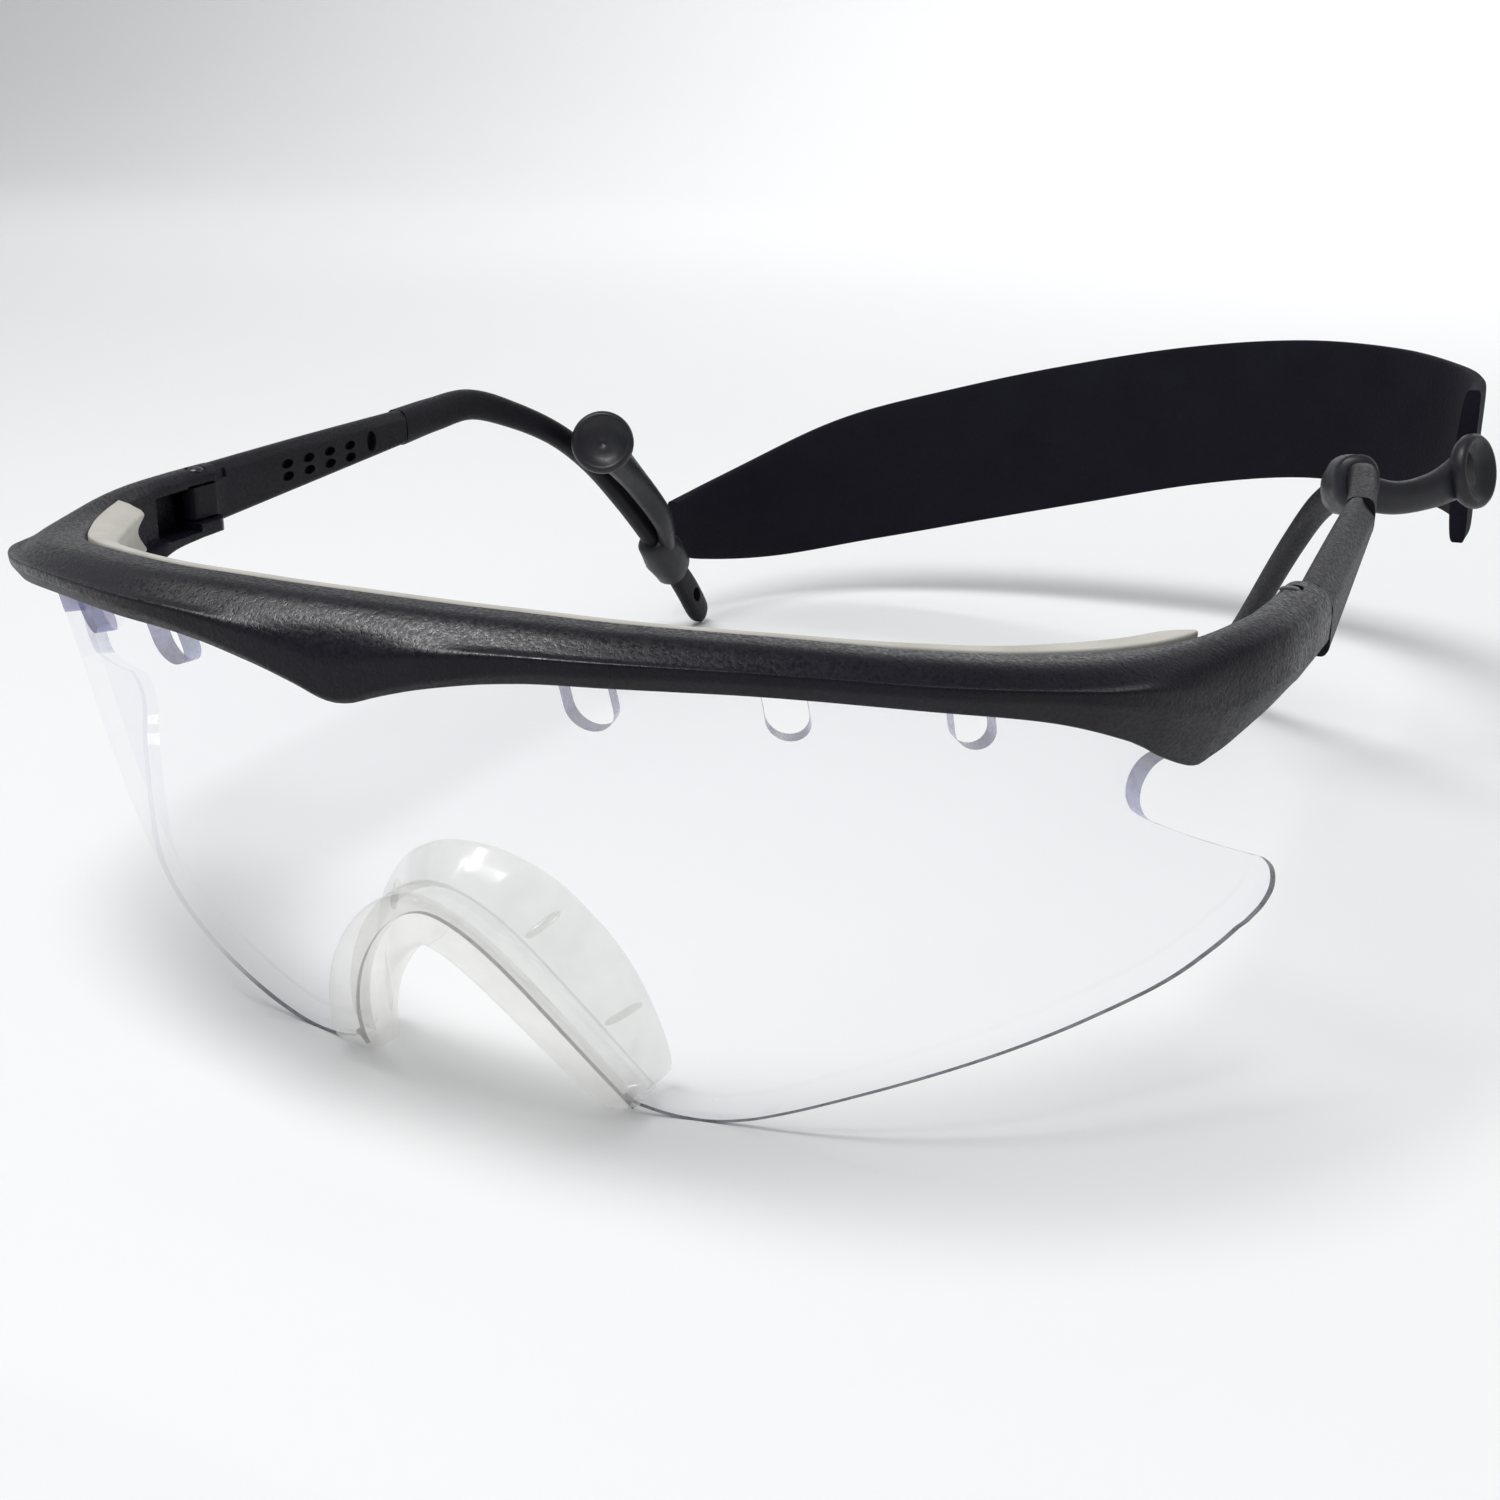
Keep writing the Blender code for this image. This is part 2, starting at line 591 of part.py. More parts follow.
def sleeve_loft(side, grow, bulge, extra):
    """Tube section round the hook, grown from the hook's own section."""
    rings = []
    for k in range(5):
        along = SLEEVE_AT[side] - extra + (SLEEVE_LONG + 2 * extra) * k / 4
        tangent, level, upward = hook_axes(side, along)
        more = grow + bulge * math.sin(math.pi * k / 4)
        deep = hook_values(side, along)[2] / 2 + more
        power = 2.8 if bulge == 0 else 2.3
        wide = HOOK_THICK / 2 + more
        rings.append(section_ring(hook_centre(side, along), level, upward, wide, deep, 16, power))
    return loft(rings)


def tab_arm_loft(side):
    path = smooth_path([Vector(p) for p in TAB_ARM[side]], 3)
    rings = []
    for i, centre in enumerate(path):
        tangent = (path[min(i + 1, len(path) - 1)] - path[max(i - 1, 0)]).normalized()
        level = Vector((-tangent.y, tangent.x, 0)).normalized()
        upward = tangent.cross(level).normalized()
        swell = 1.6 + 1.0 * (i / (len(path) - 1)) ** 2
        rings.append(section_ring(centre, level, upward, 1.5, swell, 12, 2.3))
    return loft(rings)


def disc_loft(side):
    """Cupped disc of the strap tab, turned about its own axis."""
    centre = Vector(TAB_ARM[side][-1])
    turn = Vector(TAB_FACE[side]).normalized().to_track_quat("Z", "Y").to_matrix()
    profile = [(DISC_R * 0.7, -0.6), (DISC_R, 0.6), (DISC_R, 1.4), (DISC_R * 0.88, DISC_THICK),
               (DISC_R * 0.6, 1.3), (DISC_R * 0.15, 1.0)]
    rings = []
    for radius, lift in profile:
        angles = [2 * math.pi * k / 24 for k in range(24)]
        round_points = [(radius * math.cos(t), radius * math.sin(t), lift) for t in angles]
        rings.append([centre + turn @ Vector(point) for point in round_points])
    return loft(rings)


def build_tab(side, mat):
    """Rubber strap tab: a sleeve that grips the hook, an arm and a cupped disc."""
    verts, faces = tab_arm_loft(side)
    tab = mesh_object(f"strap_tab_{side_name(side)}", verts, faces, mat, hook_centre(side, SLEEVE_AT[side]))
    boolean(tab, hidden_tool(f"tool_disc_{side}", *disc_loft(side), mat), "UNION")
    sleeve = sleeve_loft(side, GAP + SLEEVE_WALL, 0.5, 0.0)
    boolean(tab, hidden_tool(f"tool_sleeve_{side}", *sleeve, mat), "UNION")
    bore = sleeve_loft(side, GAP, 0.0, 1.2)
    boolean(tab, hidden_tool(f"tool_sleeve_bore_{side}", *bore, mat), "DIFFERENCE")


def band_path():
    return smooth_path([Vector((x, y, z)) for x, y, z, wide in BAND], 5)


def band_width(share):
    widths = smooth_path([Vector((wide, 0)) for x, y, z, wide in BAND], 5)
    return widths[round(share * (len(widths) - 1))].x


def build_band_piece(name, first, last, mat):
    path = band_path()
    count = len(path) - 1
    rings = []
    for index in range(first, last + 1):
        before = path[max(index - 1, 0)]
        after = path[min(index + 1, count)]
        tangent = (after - before).normalized()
        centre = path[index].copy()
        if index == first:
            centre += tangent * BAND_GAP
        if index == last:
            centre -= tangent * BAND_GAP
        level = Vector((-tangent.y, tangent.x, 0)).normalized()
        upward = tangent.cross(level).normalized()
        if upward.z < 0:
            upward = -upward
        tall = band_width(index / count) / 2
        rings.append(section_ring(centre, level, upward, BAND_THICK / 2, tall, 12, 5.0))
    verts, faces = loft(rings)
    return mesh_object(name, verts, faces, mat)


def main():
    clear_scene()
    black = make_material("frame_black", (0.028, 0.028, 0.034), 0.48)
    clear = make_material("clear_lens", (0.93, 0.94, 0.97), 0.03, alpha=0.35, transmission=1.0)
    foam = make_material("pad_grey", (0.50, 0.48, 0.44), 0.8)
    silicone = make_material("nose_silicone", (0.80, 0.78, 0.70), 0.35, alpha=0.8, transmission=0.6)
    steel = make_material("pin_steel", (0.30, 0.30, 0.31), 0.35)
    rubber = make_material("strap_rubber", (0.035, 0.034, 0.042), 0.42)
    neoprene = make_material("strap_neoprene", (0.012, 0.011, 0.020), 0.85)
    build_brow(black)
    build_lens(clear)
    build_pad(foam)
    build_nose_piece(silicone)
    for side in (-1, 1):
        build_pin(side, steel)
        build_front_arm(side, black)
        build_rear_arm(side, black)
        build_click(side, black)
        build_tab(side, rubber)
    names = ["strap_end_right", "strap_band_right", "strap_band_left", "strap_end_left"]
    for name, start, end in zip(names, BAND_CUTS, BAND_CUTS[1:]):
        build_band_piece(name, start, end, neoprene)


main()
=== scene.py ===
"""Looks of the sports protective goggles: fine meshes, materials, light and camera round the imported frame.

Shapes are drawn in millimetres from the hinge line (y = 0), the middle of the lens (x = 0) and the
surface the goggles rest on (z = 0); to_row turns them into the row frame.
"""
import math

import bmesh
import bpy
import numpy as np
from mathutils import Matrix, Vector
from mathutils.geometry import delaunay_2d_cdt


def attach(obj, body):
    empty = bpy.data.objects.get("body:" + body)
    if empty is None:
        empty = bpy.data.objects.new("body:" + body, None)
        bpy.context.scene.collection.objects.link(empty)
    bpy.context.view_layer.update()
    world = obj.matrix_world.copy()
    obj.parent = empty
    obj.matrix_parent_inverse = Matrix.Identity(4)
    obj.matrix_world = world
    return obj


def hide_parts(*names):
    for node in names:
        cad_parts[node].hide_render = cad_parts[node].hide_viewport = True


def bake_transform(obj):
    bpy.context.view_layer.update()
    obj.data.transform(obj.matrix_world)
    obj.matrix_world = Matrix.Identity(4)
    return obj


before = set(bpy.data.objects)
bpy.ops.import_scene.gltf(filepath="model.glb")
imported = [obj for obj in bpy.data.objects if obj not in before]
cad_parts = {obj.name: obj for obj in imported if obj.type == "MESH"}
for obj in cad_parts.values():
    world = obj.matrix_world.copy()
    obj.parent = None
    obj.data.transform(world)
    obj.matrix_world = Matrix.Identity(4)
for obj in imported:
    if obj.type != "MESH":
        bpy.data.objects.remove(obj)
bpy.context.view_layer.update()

MM = 0.001
ORIGIN = Vector((1.18, 45.41, 0.0))  # the row frame's origin in the drawing

# ------------------------------------------------------------------ driving dimensions, in millimetres
# Lens: half of its plan line (x, y) at the groove, then how it leans, bulges and ends.
PLAN = [(0.0, -60.3), (12.0, -60.1), (24.0, -58.6), (37.0, -53.2), (49.0, -45.0), (58.0, -35.2),
        (64.2, -25.0), (67.4, -15.0), (68.3, -6.0)]
GROOVE_Z = 48.0
LENS_LEAN = 0.38
LENS_BULGE = 16.0
LENS_THICK = 2.0
LENS_END = 84.0
WING_FLARE = 2.4
WING_FROM = 62.0
NOSE_HALF = 15.5
NOSE_TOP_Z = 21.6
NOSE_POWER = 1.75
NOSE_ROUND = 0.85
# Vent slots in the pane's top edge: distance along the plan line, floor height, half width.
VENTS = [(21.8, 43.8, 2.1), (37.9, 43.4, 1.85), (53.2, 41.8, 1.8)]
# The pane's lower edge and its wing: distance along the plan line, height.
LENS_LOW = [(15.5, 1.4), (19.0, 0.3), (23.0, 0.02), (27.0, 0.7), (31.0, 2.0), (40.0, 5.2), (53.0, 9.2),
            (69.0, 13.6), (76.0, 16.6), (80.5, 19.2)]
WING_TIP = [(80.4, 18.9), (82.4, 20.3), (83.6, 22.0), (83.6, 24.0), (82.4, 25.6), (80.4, 26.6)]
WING_TOP = [(78.0, 27.8), (74.0, 29.8), (70.6, 31.7)]
WING_NOTCH = [(70.0, 32.0), (68.9, 33.0), (68.4, 34.6), (68.8, 36.4), (70.0, 37.9), (71.9, 38.7),
              (74.0, 39.0)]
# The painted dark line of edge shade at the front of the cut edge, and the row x (m) between which the
# painted edge glow and edge shade fade.
RIM_LINE = 0.55
VENT_FADE = (-0.064, -0.057)
RIM_FADE = (-0.039, -0.031)

# Brow: heights of its lower edge and top, and of the crease over the edge, along the plan line.
BROW_LOW = [(0, 44.6), (1.6, 44.8), (4.6, 45.8), (9, 47.0), (15, 48.1), (22, 48.6), (36, 48.2), (50, 46.4),
            (60, 44.4), (68, 41.4), (73, 38.7), (78.4, 36.5), (81.5, 36.8), (88, 38.8), (93, 39.8),
            (100, 40.2), (106, 40.4)]
BROW_TOP = [(0, 52.8), (20, 52.7), (36, 51.8), (50, 50.2), (62, 48.8), (75, 48.0), (88, 48.2), (104, 48.3)]
BROW_CREASE = [(0, 0.5), (8, 0.7), (16, 1.0), (26, 1.3), (40, 1.4), (52, 1.6), (62, 2.4), (70, 3.8),
               (78.5, 5.6), (84, 4.6), (92, 3.0), (104, 2.4)]
BROW_FRONT = 3.3
BROW_BACK = 4.6
BROW_OVERRUN = 5.9
CORNER_FROM = 62.0
CORNER_TO = 82.0
PAD_REACH = 81.0
PAD_SWELLS_FROM = 30.0
PAD_SWELLS_TO = 74.0

# Hinges and front temple arms; side -1 is the wearer's right.
HINGE_X = 65.5
HINGE_Y = -3.0
KNUCKLE_R = 2.5
KNUCKLE_Z = (42.4, 46.2)
POCKET_Z = (42.1, 46.5)
RECESS_Z = (41.2, 46.3)
CORNER_R = 2.85
SINK_R = 1.3
SINK_Z = 47.9
# Turned pin: radius, height.
PIN_PROFILE = [(0.0, 48.35), (0.45, 48.32), (0.85, 48.2), (1.02, 48.02), (0.9, 47.8), (0.9, 40.8),
               (0.7, 40.5), (0.0, 40.4)]
ARM_START_X = 67.2
ARM_HALF = 1.85
ARM_LENGTH = 43.0
ARM_LOW_Z = 40.9
ARM_TOP_Z = 47.95
ARM_SPLAY = {-1: math.radians(2.4), 1: math.radians(-5.1)}
# Ratchet notches: first one, pitch, count and the heights of the two rows, then their half sizes.
NOTCH_FIRST = 15.0
NOTCH_PITCH = 4.7
NOTCH_COUNT = 4
NOTCH_ROWS_Z = (45.5, 43.9)
NOTCH_HALF = (1.2, 0.6)
OVAL_AT = 34.2
OVAL_Z = 45.2
OVAL_HALF = (1.1, 1.4)

# Rear temple arms: distance along the arm, inward curl, height, depth of the section.
HOOK = {
    -1: [(43.3, 0.0, 45.5, 5.0), (52.0, 0.4, 46.0, 4.7), (61.0, 1.2, 46.1, 4.4), (70.0, 3.3, 43.2, 3.9),
         (78.0, 5.9, 39.2, 3.6), (85.0, 8.1, 33.9, 3.5), (92.0, 9.9, 27.0, 3.5), (99.0, 11.2, 19.8, 3.6),
         (105.0, 11.8, 13.8, 4.0), (111.0, 12.0, 8.0, 4.8), (115.4, 12.0, 3.3, 4.8), (118.0, 11.9, 1.1, 2.8)],
    1: [(43.3, 0.0, 45.5, 5.0), (52.0, 0.5, 46.1, 4.7), (61.0, 1.5, 46.3, 4.4), (70.0, 4.6, 43.2, 3.9),
        (78.0, 8.0, 39.0, 3.6), (85.0, 11.2, 33.2, 3.5), (92.0, 14.4, 26.6, 3.5), (99.0, 17.6, 19.6, 3.6),
        (105.0, 20.4, 13.6, 4.0), (111.0, 23.3, 7.8, 4.8), (115.4, 25.4, 3.2, 4.8), (118.0, 26.6, 1.1, 2.8)],
}
HOOK_HALF = 1.5
TIP_HOLE_AT = 112.6
TONGUE_LONG = 24.0
TONGUE_HALF = 0.55
TONGUE_Z = (44.3, 46.5)

# Strap tabs: where the sleeve starts on the hook, the arm's middle line, the way the button faces.
SLEEVE_AT = {-1: 100.0, 1: 63.0}
TAB_ARM = {
    -1: [(-58.8, 103.0, 17.6), (-56.6, 97.5, 23.0), (-57.4, 90.0, 30.6), (-57.0, 79.6, 38.2)],
    1: [(57.9, 66.3, 44.2), (62.6, 70.4, 42.6), (66.6, 75.6, 43.0), (69.6, 81.0, 44.6)],
}
TAB_FACE = {-1: (0.44, -0.85, 0.30), 1: (0.93, -0.30, 0.22)}
# Sleeve: distance along it, wall. Button: radius, height over its back.
SLEEVE_PROFILE = [(0.0, 0.12), (0.12, 0.8), (0.45, 1.2), (1.4, 1.35), (3.5, 1.75), (5.6, 1.35), (6.6, 1.25),
                  (6.88, 0.8), (7.0, 0.12)]
DISC_PROFILE = [(1.5, -0.9), (3.0, -0.7), (4.2, -0.1), (4.72, 0.6), (4.82, 1.2), (4.7, 1.75), (4.4, 2.1),
                (4.05, 2.15), (3.7, 1.95), (3.2, 1.5), (2.4, 1.15), (1.4, 1.0), (0.85, 1.02), (0.62, 0.92),
                (0.35, 0.72), (0.02, 0.66)]

# Strap band from the right sleeve round the back to the left button: x, y, z, width.
BAND = [(-62.8, 111.4, 17.8, 8.5), (-61.6, 122.0, 16.8, 13.0), (-55.0, 137.0, 17.8, 19.0),
        (-42.0, 147.5, 22.0, 23.0), (-24.0, 152.5, 26.8, 24.0), (-5.0, 153.0, 31.8, 24.0),
        (16.0, 150.5, 37.0, 23.0), (35.0, 145.0, 40.4, 22.0), (51.0, 135.0, 41.6, 21.5),
        (62.0, 120.0, 42.0, 21.0), (67.0, 103.0, 43.0, 20.5), (68.4, 87.5, 44.0, 20.0)]
BAND_HALF = 1.2
BAND_STEPS = 20
# Pieces of the band, by the rows of BAND where they start and end.
BAND_PIECES = [("strap_band_first", 0.1, 3.0), ("strap_band_middle", 3.0, 9.02),
               ("strap_band_last", 8.98, 11.0)]

CAMERA_AT = (103.78, -195.33, 96.76)
CAMERA_AIM = (7.48, 0.0, 22.43)
CAMERA_LENS = 49.83
CAMERA_SENSOR = 36.0


# ------------------------------------------------------------------ curves and meshes
def to_row(point):
    """Drawing millimetres to row metres."""
    return (Vector(point) - ORIGIN) * MM


def spline(rows, steps):
    """Catmull-Rom through rows of any width, with the same number of steps in each span."""
    rows = [np.array(r, float) for r in rows]
    padded = [rows[0] * 2 - rows[1]] + rows + [rows[-1] * 2 - rows[-2]]
    out = []
    for a, b, c, d in zip(padded, padded[1:], padded[2:], padded[3:]):
        for step in range(steps):
            t = step / steps
            out.append(0.5 * (2 * b + (c - a) * t + (2 * a - 5 * b + 4 * c - d) * t ** 2
                              + (3 * b - a - 3 * c + d) * t ** 3))
    out.append(rows[-1])
    return np.array(out)


def smooth_table(rows):
    """Function that reads a smooth curve through (place, value) rows."""
    curve = spline(rows, 12)
    return lambda at: float(np.interp(at, curve[:, 0], curve[:, 1]))


HALF = spline(PLAN, 24)
HALF_AT = np.concatenate([[0], np.cumsum(np.linalg.norm(np.diff(HALF, axis=0), axis=1))])
brow_low = smooth_table(BROW_LOW)
brow_top = smooth_table(BROW_TOP)
brow_crease = smooth_table(BROW_CREASE)
lens_low = smooth_table(LENS_LOW)


def half_plan_at(at):
    """Point of the half plan line, which runs straight back past its end."""
    if at > HALF_AT[-1]:
        return np.array([HALF[-1][0], HALF[-1][1] + at - HALF_AT[-1]])
    return np.array([np.interp(at, HALF_AT, HALF[:, 0]), np.interp(at, HALF_AT, HALF[:, 1])])


def plan_at(along):
    """Point and inward normal of the plan line at a signed distance from its middle."""
    side = -1.0 if along < 0 else 1.0
    at = abs(along)
    near = 0.8
    ahead = half_plan_at(at + near) - half_plan_at(max(at - near, 0.0))
    ahead /= np.linalg.norm(ahead)
    if at < near:
        ahead = np.array([1.0, ahead[1] * at / near])
        ahead /= np.linalg.norm(ahead)
    point = half_plan_at(at)
    return np.array([point[0] * side, point[1]]), np.array([-ahead[1] * side, ahead[0]])


def lens_point(along, z, depth):
    """Point of the pane at a depth behind its front: it leans, bulges low down and flares at its wings."""
    point, normal = plan_at(along)
    flare = WING_FLARE * max(0.0, (abs(along) - WING_FROM) / (LENS_END - WING_FROM)) ** 2
    x, y = point + normal * (depth - flare)
    below = max(0.0, (GROOVE_Z - z) / GROOVE_Z)
    bulge = LENS_BULGE * below * below * (1 - below)
    return (x, y + LENS_LEAN * (GROOVE_Z - z) - bulge, z)


def link(obj):
    bpy.context.scene.collection.objects.link(obj)
    return obj


def circle(count):
    return np.linspace(0, 2 * math.pi, count + 1)[:-1]


def make_mesh(name, verts, faces, materials, sharp=35.0, slots=None):
    mesh = bpy.data.meshes.new(name)
    mesh.from_pydata([to_row(v) for v in verts], [], faces)
    if slots is not None:
        mesh.polygons.foreach_set("material_index", slots)
    bm = bmesh.new()
    bm.from_mesh(mesh)
    bmesh.ops.remove_doubles(bm, verts=bm.verts, dist=2e-7)
    bmesh.ops.recalc_face_normals(bm, faces=bm.faces)
    bm.to_mesh(mesh)
    bm.free()
    mesh.shade_smooth()
    mesh.set_sharp_from_angle(angle=math.radians(sharp))
    for mat in materials:
        mesh.materials.append(mat)
    return link(bpy.data.objects.new(name, mesh))


def loft(rings):
    """Vertices and faces of a skin over rings of equal size, closed at both ends."""
    size = len(rings[0])
    verts = [tuple(p) for ring in rings for p in ring]
    faces = [list(range(size)), [len(verts) - size + i for i in range(size)][::-1]]
    for row in range(len(rings) - 1):
        for i in range(size):
            j = (i + 1) % size
            faces.append([row * size + i, (row + 1) * size + i, (row + 1) * size + j, row * size + j])
    return verts, faces


def round_corners(corners, segments=4):
    """Outline with each corner (u, v, radius) replaced by an arc of a fixed number of points."""
    out = []
    count = len(corners)
    for i in range(count):
        here = np.array(corners[i][:2], float)
        before = np.array(corners[i - 1][:2], float) - here
        after = np.array(corners[(i + 1) % count][:2], float) - here
        reach = min(corners[i][2], 0.45 * np.linalg.norm(before), 0.45 * np.linalg.norm(after))
        start = here + before / np.linalg.norm(before) * reach
        end = here + after / np.linalg.norm(after) * reach
        for k in range(segments + 1):
            t = k / segments
            out.append(start * (1 - t) ** 2 + here * 2 * t * (1 - t) + end * t ** 2)
    return out


def cut(obj, tool):
    """Take the tool's shape out of obj, with the tool's material on the new faces."""
    mod = obj.modifiers.new(tool.name, "BOOLEAN")
    mod.object = tool
    mod.operation = "DIFFERENCE"
    mod.solver = "EXACT"
    mod.material_mode = "TRANSFER"


def bake_modifiers(obj, tools, sharp=35.0):
    """Replace obj's mesh with its evaluated mesh and remove the tools."""
    bpy.context.view_layer.update()
    graph = bpy.context.evaluated_depsgraph_get()
    mesh = bpy.data.meshes.new_from_object(obj.evaluated_get(graph))
    obj.modifiers.clear()
    obj.data = mesh
    for tool in tools:
        bpy.data.objects.remove(tool)
    mesh.shade_smooth()
    mesh.set_sharp_from_angle(angle=math.radians(sharp))
    return obj


def join(name, objects):
    """One object out of several, keeping their materials."""
    base = objects[0]
    bm = bmesh.new()
    materials = []
    for obj in objects:
        start = len(materials)
        materials += list(obj.data.materials)
        fresh = bmesh.new()
        fresh.from_mesh(obj.data)
        for face in fresh.faces:
            face.material_index += start
        temp = bpy.data.meshes.new("temp")
        fresh.to_mesh(temp)
        fresh.free()
        bm.from_mesh(temp)
        bpy.data.meshes.remove(temp)
    mesh = bpy.data.meshes.new(name)
    bm.to_mesh(mesh)
    bm.free()
    for mat in materials:
        mesh.materials.append(mat)
    for obj in objects[1:]:
        bpy.data.objects.remove(obj)
    base.data = mesh
    base.name = name
    return base


# ------------------------------------------------------------------ materials
def new_material(name):
    mat = bpy.data.materials.new(name)
    mat.use_nodes = True
    tree = mat.node_tree
    return mat, tree, tree.nodes["Principled BSDF"]


def node(tree, kind, **inputs):
    made = tree.nodes.new(kind)
    for key, value in inputs.items():
        made.inputs[key.replace("_", " ")].default_value = value
    return made


def coordinates(tree):
    return tree.nodes.new("ShaderNodeTexCoord").outputs["Object"]


def noise(tree, where, scale, detail=2.0, rough=0.5):
    made = node(tree, "ShaderNodeTexNoise", Scale=scale, Detail=detail, Roughness=rough)
    tree.links.new(where, made.inputs["Vector"])
    return made.outputs["Fac"]


def ramp(tree, value, stops):
    made = tree.nodes.new("ShaderNodeValToRGB")
    for band, (place, colour) in zip(made.color_ramp.elements, stops):
        band.position = place
        band.color = (*colour, 1)
    tree.links.new(value, made.inputs["Fac"])
    return made.outputs["Color"]


def span(tree, value, low, high, from_low=0.0, from_high=1.0):
    made = tree.nodes.new("ShaderNodeMapRange")
    for key, number in (("From Min", from_low), ("From Max", from_high), ("To Min", low), ("To Max", high)):
        made.inputs[key].default_value = number
    tree.links.new(value, made.inputs["Value"])
    return made.outputs["Result"]


def bump(tree, height, distance, strength, normal=None):
    made = node(tree, "ShaderNodeBump", Strength=strength, Distance=distance)
    tree.links.new(height, made.inputs["Height"])
    if normal is not None:
        tree.links.new(normal, made.inputs["Normal"])
    return made.outputs["Normal"]


def set_colour(tree, shader, value, low, high):
    """Base colour drifting from low to high with a noise value."""
    tree.links.new(ramp(tree, value, [(0.3, low), (0.7, high)]), shader.inputs["Base Color"])


def set_roughness(tree, shader, value, low, high):
    tree.links.new(span(tree, value, low, high, 0.3, 0.7), shader.inputs["Roughness"])


def set_surface(tree, closure):
    tree.links.new(closure.outputs[0], tree.nodes["Material Output"].inputs["Surface"])


def mix(tree, factor, first, second):
    """Mix of two closures by a number or by another node's output."""
    out = tree.nodes.new("ShaderNodeMixShader")
    if isinstance(factor, float):
        out.inputs["Fac"].default_value = factor
    else:
        tree.links.new(factor, out.inputs["Fac"])
    tree.links.new(first.outputs[0], out.inputs[1])
    tree.links.new(second.outputs[0], out.inputs[2])
    return out


def moulded_black(name, colour, roughness, grain, sparkle):
    """Spark-eroded moulded plastic: fine pits, a slow tone drift and a few bright specks."""
    mat, tree, shader = new_material(name)
    where = coordinates(tree)
    dark = tuple(c * 0.78 for c in colour)
    light = tuple(c * 1.35 for c in colour)
    set_colour(tree, shader, noise(tree, where, 95.0, 4.0), dark, light)
    pits = noise(tree, where, 2600.0, 3.0, 0.62)
    dull = span(tree, pits, roughness - sparkle, roughness + 0.18, 0.32, 0.68)
    tree.links.new(dull, shader.inputs["Roughness"])
    coarse = bump(tree, noise(tree, where, 900.0, 2.0), 0.00006, grain * 0.6)
    tree.links.new(bump(tree, pits, 0.00005, grain, coarse), shader.inputs["Normal"])
    shader.inputs["Specular IOR Level"].default_value = 0.18
    return mat


def pad_material():
    mat, tree, shader = new_material("pad_elastomer")
    where = coordinates(tree)
    tone = noise(tree, where, 140.0, 4.0)
    set_colour(tree, shader, tone, (0.43, 0.415, 0.37), (0.53, 0.515, 0.47))
    grit = noise(tree, where, 2200.0, 2.0)
    set_roughness(tree, shader, grit, 0.62, 0.9)
    tree.links.new(bump(tree, grit, 0.00007, 0.5), shader.inputs["Normal"])
    shader.inputs["Subsurface Weight"].default_value = 0.08
    shader.inputs["Subsurface Radius"].default_value = (0.002, 0.0018, 0.0014)
    return mat


def silicone_material():
    """Milky clear silicone: light passes, scatters a little and picks up a warm tint."""
    mat, tree, shader = new_material("nose_silicone_soft")
    where = coordinates(tree)
    cloud = noise(tree, where, 210.0, 3.0)
    set_colour(tree, shader, cloud, (0.97, 0.955, 0.92), (0.995, 0.99, 0.98))
    set_roughness(tree, shader, noise(tree, where, 1500.0, 2.0), 0.1, 0.2)
    tree.links.new(bump(tree, noise(tree, where, 330.0, 2.0), 0.0001, 0.25), shader.inputs["Normal"])
    shader.inputs["IOR"].default_value = 1.41
    clear = node(tree, "ShaderNodeBsdfTransparent", Color=(0.994, 0.991, 0.982, 1))
    glow = node(tree, "ShaderNodeBsdfTranslucent", Color=(0.995, 0.98, 0.95, 1))
    body = mix(tree, 0.5, shader, glow)
    seen_through = span(tree, cloud, 0.76, 0.86, 0.3, 0.7)
    gloss_skin(tree, mix(tree, seen_through, body, clear), 0.14, 0.05, 0.5)
    return mat


def gloss_skin(tree, body, roughness, facing_share, grazing_share):
    """Lay a sharp reflection over a see-through body, stronger towards grazing angles."""
    gloss = node(tree, "ShaderNodeBsdfAnisotropic", Color=(1, 1, 1, 1), Roughness=roughness)
    facing = node(tree, "ShaderNodeLayerWeight", Blend=0.5)
    steep = tree.nodes.new("ShaderNodeMath")
    steep.operation = "POWER"
    steep.inputs[1].default_value = 4.0
    tree.links.new(facing.outputs["Facing"], steep.inputs[0])
    share = span(tree, steep.outputs[0], facing_share, grazing_share)
    set_surface(tree, mix(tree, share, body, gloss))
    return gloss


def pane_material():
    """Polished polycarbonate pane: see-through with a sharp surface reflection and faint wipe marks."""
    mat, tree, shader = new_material("lens_polycarbonate")
    where = coordinates(tree)
    tree.nodes.remove(shader)
    clear = node(tree, "ShaderNodeBsdfTransparent", Color=(0.975, 0.978, 0.986, 1))
    gloss = gloss_skin(tree, clear, 0.05, 0.015, 0.22)
    wipe = noise(tree, where, 60.0, 5.0, 0.6)
    tree.links.new(span(tree, wipe, 0.02, 0.08, 0.45, 0.75), gloss.inputs["Roughness"])
    tree.links.new(bump(tree, noise(tree, where, 25.0, 1.0), 0.00002, 0.3), gloss.inputs["Normal"])
    return mat


